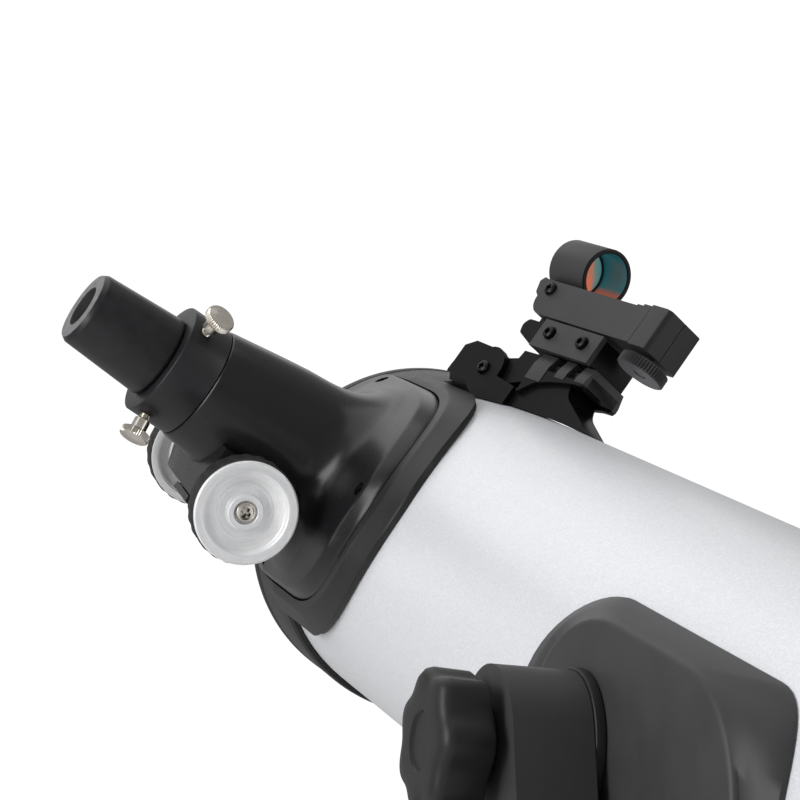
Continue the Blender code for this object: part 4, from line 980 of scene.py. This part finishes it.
def finder_bracket():
    """Rail with sloping-sided lands over the foot, arched skirts, and an arm forward to the hinge."""
    top, bottom, slot_floor, front, rear = -0.0508, -0.06, -0.0545, -0.0365, -0.0786
    parts = [block((-0.01, bottom, rear), (0.01, slot_floor, front), 0.0003)]
    ends = [front]
    for k in range(2):
        slot = -0.0484 - 0.015 * k
        ends += [slot, slot - 0.0076]
    ends.append(rear)
    lands = []
    for high, low, foot in zip(ends[::2], ends[1::2], (-0.066, -0.0612, -0.06)):
        outline = [(0.0127, foot), (0.0127, -0.0575), (0.0108, top)]
        outline = [(-0.0127, foot)] + outline + [(-x, y) for x, y in outline[:0:-1]]
        lands.append(slab(outline, low, high, 0.0004, 2))
    skirt = [(front - 0.0001, -0.059), (front - 0.0001, -0.0745), (-0.045, -0.067), (-0.056, -0.0639),
             (-0.071, -0.0614), (rear + 0.0001, -0.0612), (rear + 0.0001, -0.059)]
    parts += [side_slab(eased(skirt, 0.001, True, 2), 0.0012, x, 0.0003) for x in (-0.0112, 0.0112)]
    arm = [(front - 0.001, -0.0595), (front - 0.001, -0.0515), (-0.02, -0.0519), (-0.0192, -0.0566)]
    arm += arc(HINGE_Z, HINGE_Y, KNUCKLE_RADIUS, 125, 15, 16)
    arm += [(0.006, -0.0708), (-0.025, -0.07), (-0.036, -0.066), (-0.036, -0.0595)]
    parts.append(side_slab(arm, 0.0094, edge=0.0006))
    trimmed = [carved(part, tube_clearance(0.0806, -0.35, 0.01)) for part in parts]
    # The lands take the lighter plastic: painted light from above
    on_bracket("rail_lands", merged(*lands), LIT_LAND)
    on_bracket("finder_rail", merged(*trimmed), BRACKET, "finder_bracket", smooth=28)


def finder_clamp():
    side = [(-0.0738, -0.05), (-0.0738, -0.0356), (-0.018, -0.0356), (-0.018, -0.019)]
    side += arc(PIVOT_Z, PIVOT_Y, 0.005, 180, 0, 12) + [(-0.008, -0.044), (-0.025, -0.05)]
    wide = [(-0.074, -0.0504), (-0.074, -0.0356), (-0.029, -0.0356), (-0.022, -0.0366), (-0.012, -0.0366),
            (-0.0095, -0.04), (-0.011, -0.0446), (-0.027, -0.0504)]
    parts = [side_slab(side, 0.004, edge=0.0005),
             side_slab(eased(wide, 0.0015, True, 3), 0.0122, edge=0.0005)]
    on_bracket("clamp_body", merged(*parts), BRACKET, "clamp_block")
    plate = block((0.0126, -0.0506, -0.0745), (0.0155, -0.0353, -0.028), 0.0006, 3)
    wells = [moved(rod(0.0037, -0.0006, 0.004, 40), at(0.0155, -0.042, z) @ TO_X) for z in CLAMP_SCREWS_Z]
    on_bracket("clamp_jaw", carved(plate, *wells), FINDER_SHELL, "clamp_plate")
    head = [(AXIS, -0.001), (0.0032, -0.001), (0.0032, 0.0026), (0.0026, 0.003), (AXIS, 0.003)]
    copies = [(f"socket_screw_{i}", FINDER @ at(0.015, -0.042, z) @ TO_X, "optical_tube",
               f"clamp_screw_{i}") for i, z in enumerate(CLAMP_SCREWS_Z, 1)]
    repeated(carved(turned(head, 0.0003, 48), hexagon(0.0017, 0.0012, 0.004)), DARK_SCREW, copies)


def finder_body():
    side = [(-0.0876, -0.033), (-0.0876, -0.014), (-0.078, -0.014), (-0.006, -0.014), (-0.003, -0.0134),
            (-0.0008, -0.016), (-0.003, -0.022)] + arc(-0.015, -0.024, 0.009, 0, -90, 10)
    slot = block((-0.0045, -0.05, -0.02), (0.0045, -0.0135, -0.0072), 0)
    shell = carved(side_slab(side, 0.0125, edge=0.0009, segments=3), slot, rod(0.0147, -0.05, 0.01, 96))
    on_finder("finder_housing", shell, FINDER_SHELL, "finder_body")
    steps = merged(block((-0.01, -0.0142, -0.0876), (0.0122, -0.0122, -0.0815), 0.0004),
                   block((-0.009, -0.0142, -0.0815), (0.0118, -0.013, -0.0765), 0.0004))
    on_finder("finder_steps", steps, FINDER_SHELL)
    length = 0.0283

    def zone(face):
        height = face.calc_center_median().z
        if height < -length + 0.0006:
            return 2
        return from_axis(face) < 0.0125 and height < -0.0075

    barrel = turned(section(0.0122, 0.0145, -length, 0.0), 0.0005, 128, True)
    # Inner wall ahead of the glass: painted reflected light and a painted glow
    on_finder("finder_barrel", barrel, (FINDER_SHELL, WINDOW_GLOW, BRACKET), pick=zone)
    cradle = block((-0.007, -0.016, -0.0275), (0.007, -0.013, -0.004), 0.0006)
    on_finder("barrel_seat", cradle, FINDER_SHELL)
    glass = turned(section(AXIS, 0.0121, -0.008, -0.006), 0.0002, 96)
    # The window carries a painted reflection and a painted glow
    on_finder("finder_glass", glass, WINDOW, "finder_window")
    retainer = turned(section(0.0112, 0.0122, -0.0092, -0.0081), 0.0002, 96, True)
    on_finder("glass_retainer", retainer, MOULDED)


def finder_cap():
    half, rear, front = 0.0125, -0.1013, -0.0879
    outline = arc(half - 0.003, rear + 0.003, 0.003, -90, 0, 6) + [(half, front), (-half, front)]
    outline += arc(-half + 0.003, rear + 0.003, 0.003, 180, 270, 6)
    loops = [[(x, y, z) for x, z in outline] for y in (-0.0335, -0.0115)]
    seam = block((0.0006, -0.04, -0.102), (0.001, -0.01, -0.1009), 0)
    on_finder("battery_cap", carved(softened(skin(loops), 0.0008, 3), seam), (FINDER_SHELL, MOULDED),
              "finder_rear_cap", pick=lambda face: face.normal.z < -0.5)


def finder_controls():
    loops = circles(192, (0.003, -0.0052), (0.0034, -0.0058), (0.011, -0.0058))
    loops += waves(48, 4, (0.0116, -0.006, 0.0), (0.0125, -0.0055, 0.0009), (0.0125, -0.0006, 0.0009),
                   (0.0116, 0.0, 0.0))
    loops += circles(192, (0.006, 0.0), (0.002, 0.0), (0.002, 0.007))
    add("aiming_wheel_knurled", skin(loops), (FINDER_SHELL, WHEEL_FACE),
        FINDER @ at(0, -0.0362, WHEEL_Z) @ TO_MINUS_Y @ DOWN, "aiming_wheel", "aiming_wheel", smooth=25,
        pick=lambda face: abs(face.normal.z) > 0.9)
    loops = circles(144, (0.0022, -0.005), (0.0022, 0.0003), (0.0074, 0.0003))
    loops += waves(24, 6, (0.0076, 0.0004, 0.0), (0.008, 0.0008, 0.0006), (0.008, 0.0044, 0.0006),
                   (0.0074, 0.005, 0.0))
    loops += circles(144, (0.0055, 0.0051), (0.005, 0.0047), (0.0001, 0.0047))
    add("brightness_dial_knurled", skin(loops), BRACKET, FINDER @ at(-0.0125, -0.0235, -0.06) @ TO_MINUS_X,
        "brightness_dial", "brightness_dial", smooth=25)
    hinge = cross_screw(0.0036, 0.0022, 0.0017, 0.025)
    add("hinge_cross_screw", hinge, DARK_SCREW, FINDER @ at(0.0128, HINGE_Y, HINGE_Z) @ TO_X,
        "optical_tube", "hinge_screw")
    pivot = cross_screw(0.0034, 0.0022, 0.0017, 0.02)
    add("pivot_cross_screw", pivot, DARK_SCREW, FINDER @ at(0.0127, PIVOT_Y, PIVOT_Z) @ TO_X, "finder",
        "pivot_screw")


# ---------------------------------------------------------------- cradle, arm and base

CRADLE_FACE = -0.088
HUB_DEPTH = 0.004
ARM_INNER = CRADLE_FACE - HUB_DEPTH - 0.0006
ARM_OUTER = ARM_INNER - 0.03
SEAT_GAP = 0.0003
BOLT_BORE = 0.0063


def stadium(nose, tail, nose_length, tail_length, half_width, steps=32):
    """A long oval with a half ellipse at each end."""
    turns = [pi / 2 - pi * i / steps for i in range(steps + 1)]
    points = [(nose + nose_length * cos(a), half_width * sin(a)) for a in turns]
    return points + [(tail - tail_length * cos(a), -half_width * sin(a)) for a in turns]


def cradle():
    """Side plate: its foot follows the tube, and its flat face has a broad rounded edge."""
    half, centre = 0.0515, -0.0475
    foot = stadium(0.03, -0.105, half, half, half)
    face = stadium(-0.02, -0.085, 0.076, 0.055, half)
    loops = [[(-sqrt(r * r - z * z), y, z) for y, z in foot] for r in (0.0806, 0.0822)]
    low, high = loops[1], [(CRADLE_FACE, y, z) for y, z in face]
    for share in (0.35, 0.65):
        loops.append([tuple(Vector(a).lerp(Vector(b), share)) for a, b in zip(low, high)])
    for drop, inset in ((0.0028, 0.0), (0.0013, 0.0006), (0.0004, 0.0016), (0.0, 0.003)):
        scale_y, scale_z = 1 - inset / 0.09, 1 - inset / half
        loops.append([(CRADLE_FACE + drop, centre + (y - centre) * scale_y, z * scale_z) for y, z in face])
    add("cradle_plate", skin(loops), CRADLE_GREY, CRADLE, "optical_tube", "altitude_cradle", smooth=50)


def hub_and_arm():
    high = CRADLE_FACE - SEAT_GAP
    disc = section(BOLT_BORE, 0.03, high - HUB_DEPTH, high)
    add("friction_disc", turned(disc, 0.0008, 96, True), MOULDED, AXLE @ TO_X, "mount", "altitude_hub")
    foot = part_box("turntable")[1].z + SEAT_GAP - ALTITUDE.z
    outline = [(-0.065, foot)] + arc(0, 0, 0.029, 172, 8, 24) + [(0.065, foot)]
    upright = Matrix(((0, 0, 1, 0), (1, 0, 0, 0), (0, 1, 0, 0), (0, 0, 0, 1)))
    board = moved(slab(outline, ARM_OUTER, ARM_INNER, 0.003, 4), upright)
    add("arm_board", carved(board, moved(rod(BOLT_BORE, -0.2, 0.0, 48), TO_X)), ARM_PAINT, AXLE, "mount",
        "altitude_arm", smooth=40)
    flange = block((ARM_OUTER - 0.012, -0.085, foot), (ARM_INNER + 0.04, 0.085, foot + 0.01), 0.003, 3)
    add("arm_flange", flange, ARM_PAINT, AXLE, "mount")
    bolt = [(AXIS, 0.0), (0.007, 0.0), (0.007, 0.0012), (0.0052, 0.0014), (0.0052, 0.0048),
            (0.0046, 0.0052), (AXIS, 0.0052)]
    copies = [(f"flange_bolt_{i}", AXLE @ at(ARM_INNER + 0.028, y, foot + 0.01), "mount")
              for i, y in enumerate((-0.065, 0.0, 0.065), 1)]
    repeated(carved(turned(bolt, 0.0003, 48), hexagon(0.0027, 0.0026, 0.007)), BOLT_STEEL, copies)


def altitude_knob():
    inner = SEAT_GAP - ARM_OUTER
    lobes, per_lobe = 7, 16
    count = lobes * per_lobe
    loops = circles(count, (0.006, 0.0842), (0.006, inner), (0.0136, inner), (0.014, inner + 0.0004),
                    (0.014, inner + 0.004))
    steps = ((0.0255, 0.0046, 0.003), (0.0264, 0.006, 0.0032), (0.027, 0.019, 0.0034),
             (0.0262, 0.0215, 0.0034), (0.024, 0.0234, 0.003), (0.019, 0.024, 0.002))
    loops += waves(lobes, per_lobe, *((r, inner + h, depth) for r, h, depth in steps))
    loops += circles(count, (0.011, inner + 0.024), (0.0104, inner + 0.023), (0.0001, inner + 0.023))
    add("tension_knob", skin(loops), MOULDED, AXLE @ TO_MINUS_X, "altitude_knob", "altitude_knob",
        smooth=40)


def boards():
    """Ground board and turntable, each with an edge moulding let into its rim."""
    for name, node, body in (("ground_disc", "ground_board", "base"),
                             ("turntable_disc", "turntable", "mount")):
        low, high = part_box(node)
        radius, z0, z1 = (high.x - low.x) / 2, low.z, high.z
        profile = [(0.0065, z0), (radius - 0.0006, z0), (radius, z0 + 0.0008), (radius, z1 - 0.0008),
                   (radius - 0.0006, z1), (radius - 0.0022, z1), (radius - 0.0026, z1 - 0.0004),
                   (radius - 0.003, z1), (0.0065, z1)]
        seam = radius - 0.0024
        add(name, turned(profile, 0.0004, 256, True), (LAMINATE, EDGE_BAND), BASE, body, node,
            pick=lambda face: from_axis(face) > seam)
    low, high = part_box("azimuth_bearing")
    ring = section(0.0065, (high.x - low.x) / 2, low.z, high.z)
    add("slide_disc", turned(ring, 0.0006, 192, True), SLIDE, BASE, "base", "azimuth_bearing")


def base_details():
    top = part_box("turntable")[1].z
    shank = [(AXIS, 0.018), (0.006, 0.018), (0.006, top + SEAT_GAP), (0.013, top + SEAT_GAP),
             (0.013, top + 0.0015), (0.0105, top + 0.0017), (0.0105, top + 0.0055), (0.0095, top + 0.0065),
             (AXIS, top + 0.0065)]
    socket = hexagon(0.004, top + 0.0028, top + 0.01)
    add("pivot_bolt", carved(turned(shank, 0.0004, 72), socket), BOLT_STEEL, BASE, "mount", "azimuth_bolt")
    pad = [(AXIS, 0.0), (0.016, 0.0), (0.0178, 0.0022), (0.018, 0.003), (0.018, 0.0105), (0.0172, 0.011),
           (0.0172, 0.012), (0.018, 0.0125), (0.018, 0.014), (AXIS, 0.014)]
    copies = [(f"foot_pad_{i + 1}", BASE @ ring_place(0.17, radians(90 + 120 * i)), "base", f"foot_{i + 1}")
              for i in range(3)]
    repeated(turned(pad, 0.0005, 96), RUBBER, copies)


def kept_nodes():
    """Inner CAD pieces that stay: the springs, the mirror's cell and the pinion."""
    looks = {f"collimation_spring_{i}": BOLT_STEEL for i in (1, 2, 3)}
    looks.update(mirror_cell=MOULDED, pinion_shaft=BOLT_STEEL)
    for name, look in looks.items():
        for slot in frame["nodes"][name].material_slots:
            slot.material = look


# ---------------------------------------------------------------- stage


def floor():
    bm = bmesh.new()
    bmesh.ops.create_grid(bm, x_segments=1, y_segments=1, size=6.0)
    mesh = bpy.data.meshes.new("floor")
    bm.to_mesh(mesh)
    bm.free()
    made = bpy.data.objects.new("floor", mesh)
    bpy.context.scene.collection.objects.link(made)
    nodes = Nodes("pale_floor")
    nodes.set(Roughness=0.6)
    nodes.shades(nodes.noise(0.5, 3.0), (0.86, 0.86, 0.86), 0.02)
    mesh.materials.append(nodes.material)


# Lens in millimetres; place and directions in the tube's own axes, from its mouth
CAMERA_LENS = 143.9
CAMERA_PLACE = Vector((0.5533, -0.0224, -1.5321))
CAMERA_RIGHT = Vector((-0.782, 0.554, -0.287))
CAMERA_DOWN = Vector((-0.538, -0.831, -0.139))


def camera():
    """Behind and outboard of the tube, looking forward over the focuser and the finder."""
    data = bpy.data.cameras.new("camera")
    data.sensor_width = 36
    data.lens = CAMERA_LENS
    data.clip_start = 0.05
    made = bpy.data.objects.new("camera", data)
    made.location = TUBE @ CAMERA_PLACE
    right = (TUBE.to_3x3() @ CAMERA_RIGHT).normalized()
    back = right.cross(-(TUBE.to_3x3() @ CAMERA_DOWN)).normalized()
    made.rotation_euler = Matrix((right, back.cross(right), back)).transposed().to_euler()
    bpy.context.scene.collection.objects.link(made)
    bpy.context.scene.camera = made


def panel(name, size, energy, location, target):
    """A soft light facing a point, itself out of the camera's sight."""
    data = bpy.data.lights.new(name, "AREA")
    data.shape = "RECTANGLE"
    data.size, data.size_y = size
    data.energy = energy
    made = bpy.data.objects.new(name, data)
    made.location = location
    made.rotation_euler = (Vector(target) - Vector(location)).to_track_quat("-Z", "Y").to_euler()
    made.visible_camera = False
    bpy.context.scene.collection.objects.link(made)


def lights():
    """Four panels and a dim even surround, with a plain white backdrop behind the object."""
    world = bpy.data.worlds.new("studio")
    world.use_nodes = True
    bpy.context.scene.world = world
    tree = world.node_tree
    surround, backdrop = tree.nodes["Background"], tree.nodes.new("ShaderNodeBackground")
    for shade, strength in ((surround, 0.34), (backdrop, 1.05)):
        shade.inputs["Color"].default_value = (1, 1, 1, 1)
        shade.inputs["Strength"].default_value = strength
    path = tree.nodes.new("ShaderNodeLightPath")
    choose = tree.nodes.new("ShaderNodeMixShader")
    tree.links.new(path.outputs["Is Camera Ray"], choose.inputs[0])
    tree.links.new(surround.outputs[0], choose.inputs[1])
    tree.links.new(backdrop.outputs[0], choose.inputs[2])
    tree.links.new(choose.outputs[0], tree.nodes["World Output"].inputs["Surface"])
    focus = TUBE.translation
    panel("overhead", (2.2, 1.6), 8.5, focus + Vector((-0.3, -0.2, 1.7)), focus)
    panel("left_side", (0.9, 1.6), 22.5, focus + Vector((-1.7, -0.7, 0.3)), focus)
    beyond = (focus - bpy.context.scene.camera.location).normalized()
    panel("rim", (1.6, 0.9), 2.5, focus + 1.3 * beyond + Vector((-0.4, 0, 1.0)), focus)
    panel("right_side", (0.8, 1.4), 6, focus + Vector((1.5, -1.2, 0.1)), focus)


for build in (tube_shell, front_ring, rear_end, mirrors, spider, saddle, focuser_casting, base_screws,
              housing, focus_knobs, collar, thumbscrews, drawtube, eyepiece, finder_foot, finder_bracket,
              finder_clamp, finder_body, finder_cap, finder_controls, cradle, hub_and_arm, altitude_knob,
              boards, base_details, kept_nodes, floor, camera, lights):
    build()

bpy.context.scene.view_settings.view_transform = "Standard"
